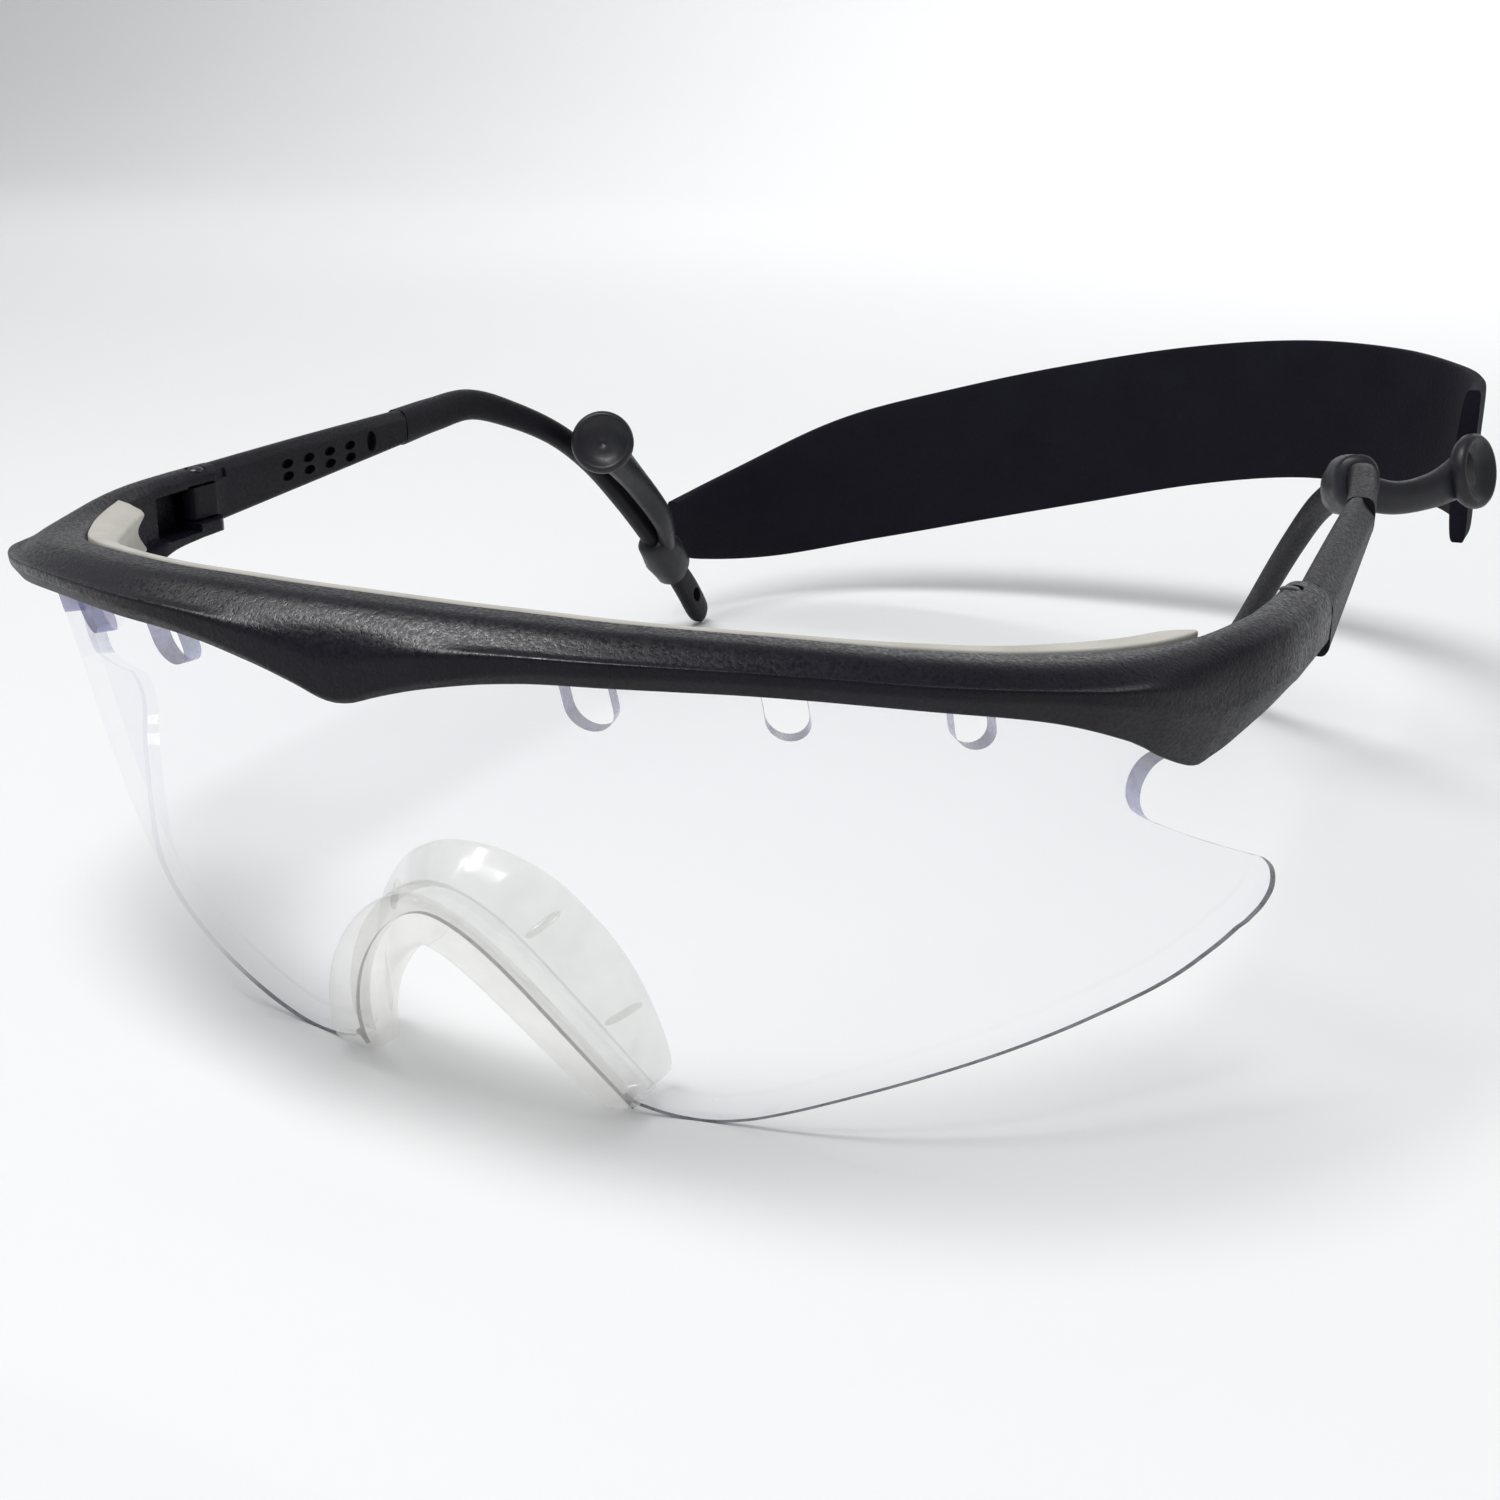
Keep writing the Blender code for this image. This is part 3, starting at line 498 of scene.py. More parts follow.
def edge_material(name, dark, light, opacity, fade):
    """Cut edge of the pane, with the glow of light piped along the sheet and the edge's dark shade painted in
    as a colour, lost towards the far end.
    """
    mat, tree, shader = new_material(name)
    where = coordinates(tree)
    streaks = noise(tree, where, 700.0, 2.0)
    tree.links.new(ramp(tree, streaks, [(0.35, dark), (0.65, light)]), shader.inputs["Base Color"])
    set_roughness(tree, shader, streaks, 0.18, 0.4)
    clear = node(tree, "ShaderNodeBsdfTransparent", Color=(0.96, 0.96, 0.99, 1))
    apart = tree.nodes.new("ShaderNodeSeparateXYZ")
    tree.links.new(where, apart.inputs[0])
    # Share of the painted light and shade over the clear edge, fading out along row x.
    painted_share = span(tree, apart.outputs["X"], opacity * 0.12, opacity, *fade)
    set_surface(tree, mix(tree, painted_share, clear, shader))
    return mat


def rubber_material():
    mat, tree, shader = new_material("tab_rubber")
    where = coordinates(tree)
    tone = noise(tree, where, 160.0, 4.0)
    set_colour(tree, shader, tone, (0.009, 0.009, 0.012), (0.018, 0.018, 0.024))
    skin = noise(tree, where, 1300.0, 3.0)
    set_roughness(tree, shader, skin, 0.3, 0.48)
    tree.links.new(bump(tree, skin, 0.00003, 0.3), shader.inputs["Normal"])
    shader.inputs["Specular IOR Level"].default_value = 0.35
    return mat


def neoprene_material():
    """Fine jersey face over foam: knit cells, a lint-like tone and a dull surface."""
    mat, tree, shader = new_material("strap_jersey")
    where = coordinates(tree)
    tone = noise(tree, where, 120.0, 5.0)
    set_colour(tree, shader, tone, (0.0035, 0.003, 0.0075), (0.0065, 0.006, 0.012))
    knit = tree.nodes.new("ShaderNodeTexVoronoi")
    knit.inputs["Scale"].default_value = 1700.0
    tree.links.new(where, knit.inputs["Vector"])
    tree.links.new(span(tree, tone, 0.78, 0.95), shader.inputs["Roughness"])
    soft = bump(tree, noise(tree, where, 260.0, 3.0), 0.00025, 0.25)
    tree.links.new(bump(tree, knit.outputs["Distance"], 0.00012, 0.6, soft), shader.inputs["Normal"])
    shader.inputs["Specular IOR Level"].default_value = 0.18
    return mat


def steel_material():
    mat, tree, shader = new_material("pin_blackened_steel")
    where = coordinates(tree)
    lathe = noise(tree, where, 1800.0, 2.0)
    set_colour(tree, shader, lathe, (0.05, 0.05, 0.055), (0.12, 0.12, 0.125))
    tree.links.new(span(tree, lathe, 0.25, 0.5), shader.inputs["Roughness"])
    tree.links.new(bump(tree, lathe, 0.00002, 0.4), shader.inputs["Normal"])
    shader.inputs["Metallic"].default_value = 1.0
    return mat


def floor_material():
    mat, tree, shader = new_material("paper_sweep")
    where = coordinates(tree)
    tone = noise(tree, where, 3.0, 2.0)
    set_colour(tree, shader, tone, (0.86, 0.865, 0.87), (0.885, 0.89, 0.89))
    tree.links.new(bump(tree, noise(tree, where, 900.0, 2.0), 0.00004, 0.2), shader.inputs["Normal"])
    shader.inputs["Roughness"].default_value = 0.75
    return mat


GRAIN = moulded_black("brow_spark_grain", (0.0052, 0.0046, 0.0090), 0.36, 1.0, 0.16)
SATIN = moulded_black("brow_lip_satin", (0.0070, 0.0064, 0.0105), 0.42, 0.2, 0.04)
ARM = moulded_black("temple_satin_grain", (0.0050, 0.0045, 0.0085), 0.45, 0.35, 0.08)
PAD = pad_material()
SILICONE = silicone_material()
PANE = pane_material()
# Cut edges with painted light: a blue-violet glow of piped light on the vent walls and a dark line of painted
# shade round the rim.
VENT_GLOW_EDGE = edge_material("vent_edge_painted_glow", (0.20, 0.20, 0.42), (0.34, 0.34, 0.60), 0.7, VENT_FADE)
RIM_SHADE_EDGE = edge_material("rim_edge_painted_shade", (0.035, 0.035, 0.05), (0.11, 0.11, 0.14), 0.88, RIM_FADE)
RUBBER = rubber_material()
NEOPRENE = neoprene_material()
STEEL = steel_material()


# ------------------------------------------------------------------ lens
def arc(centre, radius, start, end, count):
    """Points of an arc in (along, z), angles in degrees."""
    turns = np.radians(np.linspace(start, end, count))
    return [(centre[0] + radius * math.cos(t), centre[1] + radius * math.sin(t)) for t in turns]


def arch_height(at):
    """Height of the nose arch at a distance from its middle."""
    return NOSE_TOP_Z * max(0.0, 1 - (abs(at) / NOSE_HALF) ** NOSE_POWER) ** NOSE_ROUND


def lens_half_outline():
    """Left half of the pane's outline, from the nose arch out to the wing and back along the top.

    Each point is (along, height, glow wall), where the glow wall flag marks the walls of the vents and the
    notch, which get the painted glow of light piped along the sheet.
    """
    out = []
    steps = 40
    for k in range(steps):
        at = NOSE_HALF * math.sin(math.pi / 2 * k / steps)
        out.append((at, arch_height(at), 0))
    out += [(NOSE_HALF, 2.4, 0), (NOSE_HALF + 0.3, 1.6, 0)]
    for at in np.arange(NOSE_HALF + 0.8, 79.8, 0.5):
        out.append((float(at), lens_low(at), 0))
    out += [(a, z, 0) for a, z in spline(WING_TIP, 5)]
    out += [(a, z, 0) for a, z in spline(WING_TOP, 8)]
    out += [(a, z, 1) for a, z in spline(WING_NOTCH, 6)]
    out += [(74.0, 41.5, 0), (71.0, 45.6, 0)]
    for at, floor, half in VENTS[::-1]:
        top = brow_low(at) + 1.6
        out.append((at + half + 1.0, top, 0))
        out += [(at + half, z, 1) for z in np.linspace(top, floor + half, 6)]
        out += [(a, z, 1) for a, z in arc((at, floor + half), half, 0, -180, 17)[1:-1]]
        out += [(at - half, z, 1) for z in np.linspace(floor + half, top, 6)]
        out.append((at - half - 1.0, top, 0))
    out += [(10.0, 49.0, 0), (4.0, 47.6, 0), (0.0, 47.0, 0)]
    return out


def lens_outline():
    half = lens_half_outline()
    return half + [(-a, z, painted_glow_wall) for a, z, painted_glow_wall in half[-2:0:-1]]


def build_lens():
    """Clear pane: its outline is triangulated with an inner grid, so that both faces can curve."""
    outline = lens_outline()
    rim = [Vector(point[:2]) for point in outline]
    count = len(rim)
    cell = 2.6
    grid = [Vector((a + 0.013, z + 0.017))
            for a in np.arange(-84, 85, cell) for z in np.arange(0.9, 50, cell)]
    found = delaunay_2d_cdt(rim + grid, [], [list(range(count))], 1, 1e-4)
    points, faces = found[0], found[2]
    keep = sorted({i for f in faces for i in f})
    index = {old: new for new, old in enumerate(keep)}
    size = len(keep)
    verts = [lens_point(points[i].x, points[i].y, 0.0) for i in keep]
    verts += [lens_point(points[i].x, points[i].y, LENS_THICK) for i in keep]
    solid = [[index[i] for i in f] for f in faces]
    solid += [[index[i] + size for i in reversed(f)] for f in faces]
    slots = [0] * len(solid)
    line = len(verts)
    verts += [lens_point(point[0], point[1], RIM_LINE) for point in outline]
    for i in range(count):
        j = (i + 1) % count
        # Vent and notch walls get the painted glow of piped light. The rest of the edge gets a painted dark
        # line of shade at its front and stays clear behind it.
        painted_glow_wall = outline[i][2] and outline[j][2]
        solid.append([index[i], index[j], line + j, line + i])
        solid.append([line + i, line + j, index[j] + size, index[i] + size])
        slots += [1, 1] if painted_glow_wall else [2, 0]
    lens = make_mesh("lens_pane", verts, solid, [PANE, VENT_GLOW_EDGE, RIM_SHADE_EDGE], 50.0, slots)
    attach(lens, "front")
    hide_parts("lens")
    return lens


# ------------------------------------------------------------------ brow frame and pad
def ease(value, low, high):
    """Smooth step from 0 at low to 1 at high."""
    t = min(1.0, max(0.0, (value - low) / (high - low)))
    return t * t * (3 - 2 * t)


def turned(at):
    """0 along the brow's front, 1 where it has turned to the side."""
    return ease(at, CORNER_FROM, CORNER_TO)


def brow_outline(along):
    """Section of the brow as rounded corners: inward distance from the plan line, height."""
    at = abs(along)
    low = brow_low(at)
    top = brow_top(at)
    side = turned(at)
    ledge = 1.5 * ease(at, 86.0, 90.0)
    outer = 2.5 * side - BROW_FRONT
    inner = BROW_BACK - 0.5 * side
    crease = low + brow_crease(at)
    tuck = 0.6 + 0.42 * brow_crease(at)
    corners = [(outer + tuck, low, 0.3), (max(2.5, outer + tuck + 0.8), low + 0.3, 0.2),
               (inner + ledge, low + 0.3, 0.3), (inner + ledge, low + 2.0, 0.2), (inner, low + 2.1, 0.1),
               (inner, top - 0.8, 0.5), (inner - 0.9, top - 0.1, 0.5), (outer + 3.4 - 0.9 * side, top, 1.3),
               (outer + 1.0 - 0.5 * side, top - 1.7 + 0.9 * side, 1.8), (outer, 0.5 * (top + crease), 2.2),
               (outer + 0.15, crease, 0.3)]
    return round_corners(corners, 5)


def build_brow():
    """One long loft with a satin lower lip, cut for the hinges at both ends."""
    end = HALF_AT[-1] + BROW_OVERRUN
    count = 240
    rings = []
    for i in range(count + 1):
        along = end * (2 * i / count - 1)
        point, normal = plan_at(along)
        rings.append([(*(point + normal * d), z) for d, z in brow_outline(along)])
    verts, faces = loft(rings)
    size = len(rings[0])
    lip = [1 if i < 5 or i >= size - 3 else 0 for i in range(size)]
    slots = [0, 0] + lip * count
    brow = make_mesh("brow_frame_body", verts, faces, [GRAIN, SATIN], 24.0, slots)
    tools = []
    for side in (-1, 1):
        tools += hinge_cutters(brow, side)
    bake_modifiers(brow, tools, 24.0)
    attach(brow, "front")
    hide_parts("brow_frame")
    return brow


def prism(name, outline, low, high, mat):
    """Upright block over an outline seen from above."""
    return make_mesh(name, *loft([[(x, y, z) for x, y in outline] for z in (low, high)]), [mat])


def hinge_cutters(brow, side):
    """The knuckle's pocket, the rounded inner corner and the pin's counterbore at one brow end."""
    x = side * HINGE_X
    inside = x - side * 9
    outside = x + side * 9
    wall = x + side * 2.75
    slot = [(wall, -5.9), (wall, 4), (inside, 4), (inside, -5.9)]
    pocket = prism(f"cut_pocket_{side}", slot, *POCKET_Z, GRAIN)
    corner = [(inside, 4), (inside, -8.0), (x - side * CORNER_R, -8.0)]
    corner += [(x + side * CORNER_R * math.cos(t), HINGE_Y + CORNER_R * math.sin(t))
               for t in np.linspace(math.pi, math.pi / 2, 9)]
    corner += [(x + side * 1.0, -0.15), (x + side * 1.0, 4)]
    trim = prism(f"cut_corner_{side}", corner, 30, 60, GRAIN)
    behind = [(inside, -0.1), (outside, -0.1), (outside, 4), (inside, 4)]
    tail = prism(f"cut_tail_{side}", behind, 30, 60, GRAIN)
    ring = [(x + SINK_R * math.cos(t), HINGE_Y + SINK_R * math.sin(t)) for t in circle(32)]
    sink = prism(f"cut_sink_{side}", ring, SINK_Z, 52, GRAIN)
    front_box = [(x + side * 1.3, -12.2), (x + side * 1.3, -5.8), (inside, -5.8), (inside, -12.2)]
    recess = prism(f"cut_recess_{side}", front_box, *RECESS_Z, GRAIN)
    for tool in (pocket, recess, trim, tail, sink):
        cut(brow, tool)
    return [pocket, recess, trim, tail, sink]


def build_pad():
    """Soft strip behind the brow, thicker and dished towards its rounded ends."""
    rings = []
    count = 160
    for i in range(count + 1):
        along = PAD_REACH * (2 * i / count - 1)
        at = abs(along)
        point, normal = plan_at(along)
        grow = ease(at, PAD_SWELLS_FROM, PAD_SWELLS_TO)
        close = math.sqrt(max(0.04, 1 - max(0.0, (at - PAD_REACH + 4.0) / 4.0) ** 2))
        thick = (1.5 + 2.6 * grow) * close
        top = brow_top(at) - 0.2 + 0.3 * grow
        near = BROW_BACK + 0.02 - 0.5 * turned(at)
        dish = 1.3 * grow * close
        corners = [(near, top - 5.0, 0.2), (near + thick, top - 5.2, 0.5),
                   (near + thick - dish, top - 3.2, 1.2), (near + thick + 0.1, top - 0.9, 0.6),
                   (near + 0.55 * thick, top - 0.1, 0.5), (near, top - 0.15, 0.3)]
        rings.append([(*(point + normal * d), z) for d, z in round_corners(corners, 4)])
    pad = make_mesh("brow_pad_strip", *loft(rings), [PAD], 50.0)
    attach(pad, "front")
    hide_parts("brow_pad")
    return pad


# ------------------------------------------------------------------ nose piece
def arch_at(share):
    """Point of the arch, from its right foot at share 0 to its left foot at share 1."""
    at = NOSE_HALF * 0.985 * math.sin(math.pi * (share - 0.5))
    return np.array([at, arch_height(at)])


def arch_frame(share):
    """Point of the arch, the direction along it and the direction into the pane."""
    near = 0.004
    ahead = arch_at(share + near) - arch_at(share - near)
    ahead /= np.linalg.norm(ahead)
    return arch_at(share), ahead, np.array([-ahead[1], ahead[0]])


def nose_ring(share):
    """Section across the arch: a (into the pane, away from the nose) and b (depth behind its front)."""
    here, _, into = arch_frame(share)
    t = min(max((share - 0.02) / 0.96, 0.0), 1.0)
    swell = math.sin(math.pi * t) ** 0.5
    side = math.sin(math.pi * abs(2 * t - 1) ** 0.8) ** 2
    reach = 5.8 + 4.5 * swell + 0.7 * side
    flare = 0.8 + 2.3 * swell + 1.7 * side
    lip = -1.9 - 1.5 * swell
    corners = [(lip, -0.7, 0.6), (lip + 0.9, -1.6, 0.8), (1.7, -1.6, 0.5), (2.4, -1.0, 0.5),
               (2.3, -0.06, 0.12), (-0.06, -0.06, 0.1), (-0.06, 2.06, 0.1), (2.3, 2.06, 0.2),
               (2.5, 3.2, 0.5), (1.1, 3.7, 0.7), (0.9 + 0.45 * flare, 0.62 * reach, 2.0),
               (1.0 + flare, reach - 0.3, 0.4), (0.4 + flare, reach + 0.2, 0.35),
               (-0.4 + 0.4 * flare, 0.6 * reach, 2.0), (lip, 3.0, 1.5)]
    ring = []
    for a, b in round_corners(corners, 4):
        spot = here + into * a
        ring.append(lens_point(spot[0], max(spot[1], 0.12), b))
    return ring


def build_nose():
    """Channel that grips the arch's edge, with the saddle behind it and raised ribs on the saddle."""
    count = 120
    rings = []
    for i in range(count + 1):
        t = i / count
        share = 0.015 + 0.97 * t
        ring = np.array(nose_ring(share))
        pinch = min(t, 1 - t) / 0.03
        if pinch < 1:
            middle = ring.mean(axis=0)
            ring = middle + (ring - middle) * (0.55 + 0.45 * math.sin(pinch * math.pi / 2))
        rings.append(ring)
    body = make_mesh("nose_body", *loft(rings), [SILICONE], 60.0)
    parts = [body]
    for share in (0.36, 0.64, 0.80):
        parts.append(nose_rib(share))
    nose = join("nose_saddle", parts)
    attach(nose, "front")
    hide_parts("nose_piece")
    return nose


def nose_rib(share):
    """Raised bead across the saddle's outer side."""
    here, ahead, into = arch_frame(share)
    rings = []
    steps = 12
    for k in range(steps + 1):
        t = k / steps
        deep = 4.6 + 4.0 * t
        lift = 1.35 + 2.5 * t
        girth = 0.42 * math.sqrt(max(0.02, 1 - (2 * t - 1) ** 4))
        ring = []
        for turn in circle(10):
            spot = here + into * (lift + girth * math.sin(turn)) + ahead * girth * math.cos(turn)
            ring.append(lens_point(spot[0], max(spot[1], 0.2), deep))
        rings.append(ring)
    return make_mesh("nose_rib", *loft(rings), [SILICONE], 60.0)


# ------------------------------------------------------------------ temples
def arm_point(side, along, inward, z):
    """Point of a temple from its distance along the arm, its distance inwards and its height."""
    turn = ARM_SPLAY[side]
    ahead = np.array([math.sin(turn), math.cos(turn)])
    across = np.array([-ahead[1], ahead[0]])
    spot = np.array([ARM_START_X, 0.0]) + ahead * along + across * inward
    return (side * spot[0], spot[1], z)


def side_name(side):
    return "left" if side > 0 else "right"


def arm_outline(along):
    """Section of the front arm as rounded corners: distance inwards, height."""
    t = along / ARM_LENGTH
    low = ARM_LOW_Z + 2.5 * t
    top = ARM_TOP_Z + 0.1 * math.sin(math.pi * t)
    half = ARM_HALF - 0.15 * t
    corners = [(-half + 0.5, low, 0.3), (half - 0.3, low, 0.3), (half, low + 0.4, 0.3),
               (half, top - 1.0, 0.4), (half - 0.9, top, 0.5), (-half + 1.5, top, 0.35),
               (-half, top - 2.1, 0.35), (-half, low + 0.7, 0.4)]
    return round_corners(corners, 4)


def arm_box(name, side, start, end, inner, outer, low, high, mat):
    """Box along a temple, between two distances along it, two distances inwards and two heights."""
    corners = [(inner, low), (outer, low), (outer, high), (inner, high)]
    rings = [[arm_point(side, along, w, z) for w, z in corners] for along in (start, end)]
    return make_mesh(name, *loft(rings), [mat])


def build_front_arm(side):
    """Front arm with its ratchet notches and an oval recess, and the knuckle that turns on the pin."""
    name = side_name(side)
    rings = []
    for along in np.linspace(0.35, ARM_LENGTH, 36):
        rings.append([arm_point(side, along, w, z) for w, z in arm_outline(along)])
    arm = make_mesh(f"temple_arm_{name}", *loft(rings), [ARM], 26.0)
    tools = []
    for index in range(NOTCH_COUNT):
        along = NOTCH_FIRST + NOTCH_PITCH * index
        for high in NOTCH_ROWS_Z:
            tools.append(arm_disc(f"cut_notch_{side}_{index}_{high}", side, along, high, *NOTCH_HALF, ARM))
    tools.append(arm_disc(f"cut_oval_{side}", side, OVAL_AT, OVAL_Z, *OVAL_HALF, ARM))
    tools.append(arm_box(f"cut_step_{side}", side, 1.6, 2.4, 1.5, 3.0, 46.0, 50.0, ARM))
    for tool in tools:
        cut(arm, tool)
    bake_modifiers(arm, tools, 26.0)
    whole = join(f"temple_arm_{name}", [arm, build_knuckle(side)])
    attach(whole, f"arm_{name}")
    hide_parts(f"temple_front_{name}")
    return whole


def arm_disc(name, side, along, z, half_long, half_high, mat):
    """Oval cutter standing on the arm's inner face."""
    rings = []
    for inward in (0.9, 3.2):
        rings.append([arm_point(side, along + half_long * math.cos(t), inward, z + half_high * math.sin(t))
                      for t in circle(20)])
    return make_mesh(name, *loft(rings), [mat])


def build_knuckle(side):
    """Barrel round the pin, flattened on its inner side, with the web that carries the arm."""
    x = side * HINGE_X
    outline = [(x + side * max(KNUCKLE_R * math.cos(t), -1.5), HINGE_Y + KNUCKLE_R * math.sin(t))
               for t in np.linspace(math.pi / 2, math.pi * 1.5, 17)]
    outline += [(x + side * 2.3, HINGE_Y - 0.6), (x + side * 2.3, 2.5), (x, 2.5)]
    return prism("knuckle", outline[1:], *KNUCKLE_Z, ARM)


HOOK_PATH = {side: spline(HOOK[side], 10) for side in HOOK}


def hook_values(side, along):
    """Inward curl, height and section depth of a rear arm at a distance along it."""
    path = HOOK_PATH[side]
    return [float(np.interp(along, path[:, 0], path[:, k])) for k in (1, 2, 3)]


def hook_centre(side, along):
    curl, height, _ = hook_values(side, along)
    return np.array(arm_point(side, along, curl, height))


def axes_of(ahead):
    """Level and upward directions square to a path's direction."""
    ahead = ahead / np.linalg.norm(ahead)
    level = np.array([-ahead[1], ahead[0], 0.0])
    level /= np.linalg.norm(level)
    upward = np.cross(ahead, level)
    if upward[2] < 0:
        upward = -upward
    return ahead, level, upward


def hook_axes(side, along):
    along = min(max(along, 44.0), 116.6)
    ahead, level, upward = axes_of(hook_centre(side, along + 0.6) - hook_centre(side, along - 0.6))
    return ahead, level * side, upward


def oval_ring(centre, level, upward, half_wide, half_deep, sides, power):
    """Ring of points on a superellipse, square to a path."""
    ring = []
    for i in range(sides):
        turn = 2 * math.pi * (i + 0.5) / sides
        c, s = math.cos(turn), math.sin(turn)
        wide = abs(c) ** (2 / power) * math.copysign(half_wide, c)
        deep = abs(s) ** (2 / power) * math.copysign(half_deep, s)
        ring.append(centre + level * wide + upward * deep)
    return ring


def build_hook(side):
    """Rear arm that curls down to its tip, with a lanyard hole, and the tongue in the front arm."""
    name = side_name(side)
    rings = []
    path = HOOK_PATH[side]
    for row in path:
        _, level, upward = hook_axes(side, row[0])
        t = (row[0] - path[0][0]) / (path[-1][0] - path[0][0])
        half = 1.75 - 0.35 * min(1.0, t * 3) + 0.1 * max(0.0, (t - 0.8) * 5)
        end = max(0.0, (row[0] - 116.0) / 2.0)
        half *= math.sqrt(max(0.12, 1 - min(end, 0.94) ** 2))
        rings.append(oval_ring(hook_centre(side, row[0]), level, upward, half, row[3] / 2, 24, 3.2 - 0.8 * t))
    hook = make_mesh(f"temple_hook_{name}", *loft(rings), [ARM], 40.0)
    centre = hook_centre(side, TIP_HOLE_AT)
    ahead, level, upward = hook_axes(side, TIP_HOLE_AT)
    rings = []
    for reach in (-4, 4):
        rings.append([centre + level * reach + ahead * 1.55 * math.cos(t) + upward * 1.1 * math.sin(t)
                      for t in circle(24)])
    hole = make_mesh("cut_hole", *loft(rings), [ARM])
    cut(hook, hole)
    bake_modifiers(hook, [hole], 40.0)
    tongue = arm_box("tongue", side, ARM_LENGTH - TONGUE_LONG, ARM_LENGTH + 3.0, -TONGUE_HALF, TONGUE_HALF,
                     *TONGUE_Z, ARM)
    whole = join(f"temple_hook_{name}", [hook, tongue])
    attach(whole, f"hook_{name}")
    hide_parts(f"temple_rear_{name}")
    return whole


def build_pin(side):
    """Turned pin with a domed head seen in the brow's top."""
    rings = [[(side * HINGE_X + max(r, 0.001) * math.cos(t), HINGE_Y + max(r, 0.001) * math.sin(t), z)
              for t in circle(32)] for r, z in PIN_PROFILE]
    pin = make_mesh(f"hinge_pin_head_{side_name(side)}", *loft(rings), [STEEL], 40.0)
    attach(pin, "front")
    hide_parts(f"hinge_pin_{side_name(side)}")
    return pin


# ------------------------------------------------------------------ strap tabs
def tab_sleeve(side):
    """Rubber sleeve round the hook, swollen in its middle."""
    rings = []
    for shift, grow in SLEEVE_PROFILE:
        along = SLEEVE_AT[side] + shift
        _, level, upward = hook_axes(side, along)
        deep = hook_values(side, along)[2] / 2 + grow
        rings.append(oval_ring(hook_centre(side, along), level, upward, HOOK_HALF + grow, deep, 32, 2.4))
    return make_mesh("sleeve", *loft(rings), [RUBBER], 50.0)


def tab_arm(side):
    path = spline(TAB_ARM[side], 12)
    rings = []
    last = len(path) - 1
    for i, centre in enumerate(path):
        _, level, upward = axes_of(path[min(i + 1, last)] - path[max(i - 1, 0)])
        t = i / last
        flat = 1.5 - 0.15 * math.sin(math.pi * t)
        rings.append(oval_ring(centre, level, upward, flat, 1.9 + 1.3 * t ** 3 + 0.5 * (1 - t) ** 3, 24, 2.5))
    return make_mesh("arm", *loft(rings), [RUBBER], 50.0)


def tab_disc(side):
    """Cupped disc with a rolled lip and a small dimple in the middle."""
    centre = Vector(TAB_ARM[side][-1])
    turn = Vector(TAB_FACE[side]).normalized().to_track_quat("Z", "Y").to_matrix()
    rings = []
    for radius, lift in DISC_PROFILE:
        ring = [centre + turn @ Vector((radius * math.cos(t), radius * math.sin(t), lift))
                for t in circle(48)]
        rings.append([tuple(p) for p in ring])
    return make_mesh("disc", *loft(rings), [RUBBER], 60.0)


def build_tab(side):
    name = side_name(side)
    tab = join(f"strap_tab_rubber_{name}", [tab_sleeve(side), tab_arm(side), tab_disc(side)])
    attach(tab, f"hook_{name}")
    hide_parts(f"strap_tab_{name}", f"length_click_{name}")
    return tab


# ------------------------------------------------------------------ strap band
BAND_PATH = spline(BAND, BAND_STEPS)


def band_ring(place):
    """Ring across the band at a row place such as 3.5, cupped a little across its width."""
    at = place * BAND_STEPS
    rows = np.arange(len(BAND_PATH))
    row = np.array([np.interp(at, rows, BAND_PATH[:, k]) for k in range(4)])
    before = np.array([np.interp(at - 2, rows, BAND_PATH[:, k]) for k in range(3)])
    after = np.array([np.interp(at + 2, rows, BAND_PATH[:, k]) for k in range(3)])
    _, level, upward = axes_of(after - before)
    tall = row[3] / 2
    sides = 40
    ring = []
    for k in range(sides):
        turn = 2 * math.pi * (k + 0.5) / sides
        c, s = math.cos(turn), math.sin(turn)
        wide = abs(c) ** 0.28 * math.copysign(BAND_HALF, c)
        deep = math.copysign(abs(s) ** 0.75 * tall, s)
        cup = 0.35 * (deep / tall) ** 2
        ring.append(row[:3] + level * (wide + cup) + upward * deep)
    return ring


def build_band():
    """The band in three pieces: the first two stay fixed in the row frame where they are drawn, and the one
    past the opened pivot rides on the band's left end.
    """
    made = []
    for name, first, last in BAND_PIECES:
        places = np.linspace(first, last, int((last - first) * 14) + 2)
        made.append(make_mesh(name, *loft([band_ring(p) for p in places]), [NEOPRENE], 50.0))
    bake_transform(made[0])
    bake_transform(made[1])
    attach(made[2], "band_end_left")
    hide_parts("strap_end_right")
    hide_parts("strap_band_right", "strap_band_left")
    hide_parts("strap_end_left")


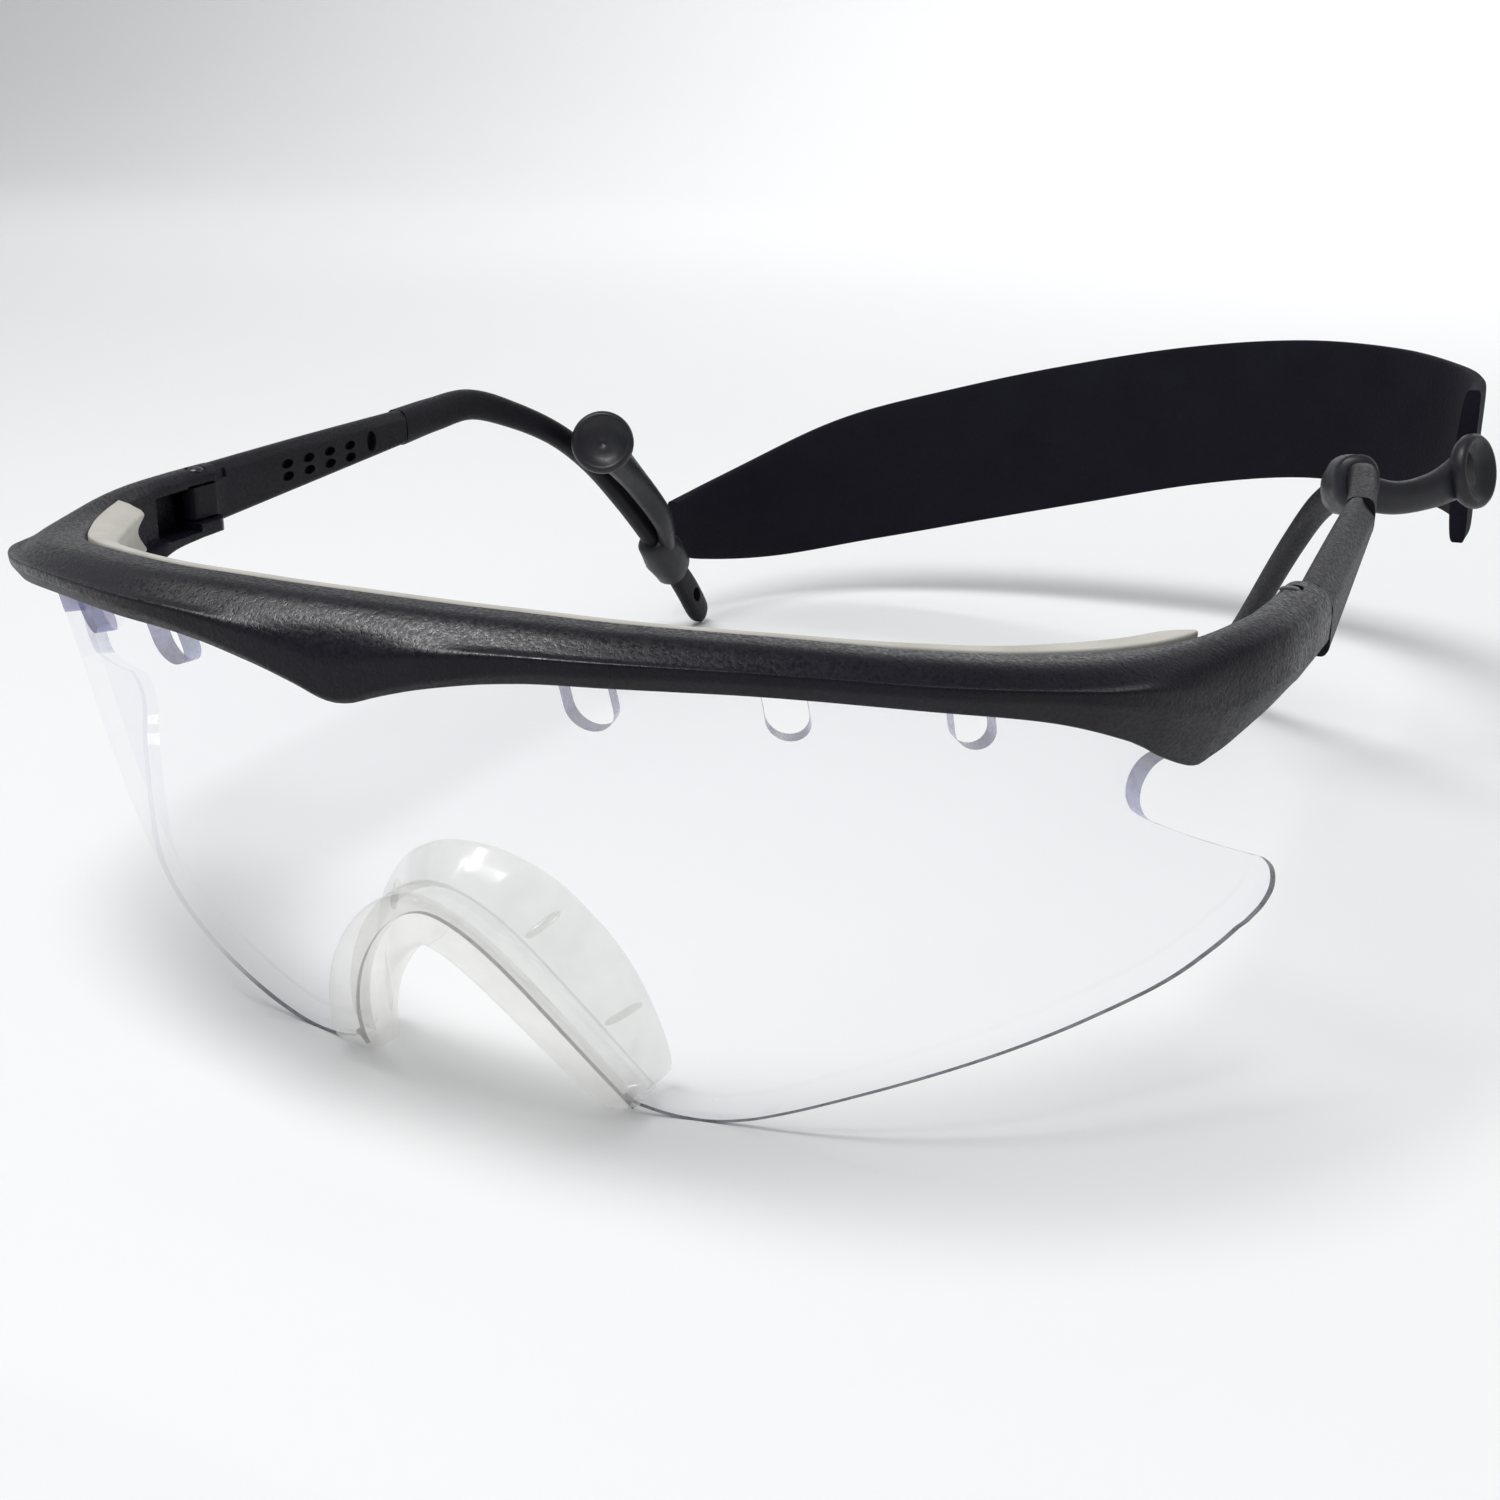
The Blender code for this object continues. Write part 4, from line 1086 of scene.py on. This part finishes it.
# ------------------------------------------------------------------ stage
def build_stage():
    """Paper sweep that runs level under the goggles and curves up far behind them."""
    level_to = 0.9
    radius = 0.6
    half = 3.0
    profile = [(-half, 0.0), (level_to, 0.0)]
    profile += [(level_to + radius * math.sin(t), radius - radius * math.cos(t))
                for t in np.radians(np.arange(7.5, 91, 7.5))]
    profile.append((level_to + radius, 4.0))
    mesh = bpy.data.meshes.new("paper_sweep")
    verts = [(x, y, z) for x in (-half, half) for y, z in profile]
    count = len(profile)
    mesh.from_pydata(verts, [], [(i, count + i, count + i + 1, i + 1) for i in range(count - 1)])
    mesh.shade_smooth()
    mesh.materials.append(floor_material())
    floor = link(bpy.data.objects.new("paper_sweep", mesh))
    world = bpy.data.worlds.new("studio")
    world.use_nodes = True
    world.node_tree.nodes["Background"].inputs["Color"].default_value = (0.97, 0.985, 1.0, 1)
    world.node_tree.nodes["Background"].inputs["Strength"].default_value = 0.38
    bpy.context.scene.world = world
    add_light("top_softbox", (-0.08, -0.28, 0.74), (0.0, 0.0, 0.0), 0.55, 0.2, 4.4)
    backdrop_fill = add_light("back_fill", (0.0, 0.75, 0.9), (0.0, 1.3, 0.2), 1.6, 0.4, 9.0)
    backdrop_fill.visible_glossy = False


def add_light(name, place, target, wide, tall, power):
    """Rectangular light, placed and aimed in metres."""
    data = bpy.data.lights.new(name, "AREA")
    data.shape = "RECTANGLE"
    data.size = wide
    data.size_y = tall
    data.energy = power
    light = link(bpy.data.objects.new(name, data))
    light.location = place
    light.rotation_euler = (Vector(target) - Vector(place)).to_track_quat("-Z", "Y").to_euler()
    return light


def build_glint(pieces):
    """A light that only glints on the given pieces: it brings out the moulded grain."""
    glint = add_light("crest_glint", (-0.22, -0.2, 0.48), (0.0, -0.1, 0.05), 0.24, 0.09, 2.8)
    glint.visible_diffuse = False
    lit = bpy.data.collections.new("crest_glint_pieces")
    for piece in pieces:
        lit.objects.link(piece)
    glint.light_linking.receiver_collection = lit


def build_camera():
    data = bpy.data.cameras.new("camera")
    data.lens = CAMERA_LENS
    data.sensor_width = CAMERA_SENSOR
    data.clip_start = 0.01
    data.clip_end = 20.0
    camera = link(bpy.data.objects.new("camera", data))
    place = to_row(CAMERA_AT)
    camera.location = place
    camera.rotation_euler = (to_row(CAMERA_AIM) - place).to_track_quat("-Z", "Y").to_euler()
    bpy.context.scene.camera = camera


build_camera()
build_stage()
brow = build_brow()
build_lens()
build_pad()
nose = build_nose()
for side in (-1, 1):
    build_pin(side)
    build_front_arm(side)
    build_hook(side)
    build_tab(side)
build_band()
build_glint([brow, nose])
bpy.context.scene.view_settings.view_transform = "Standard"
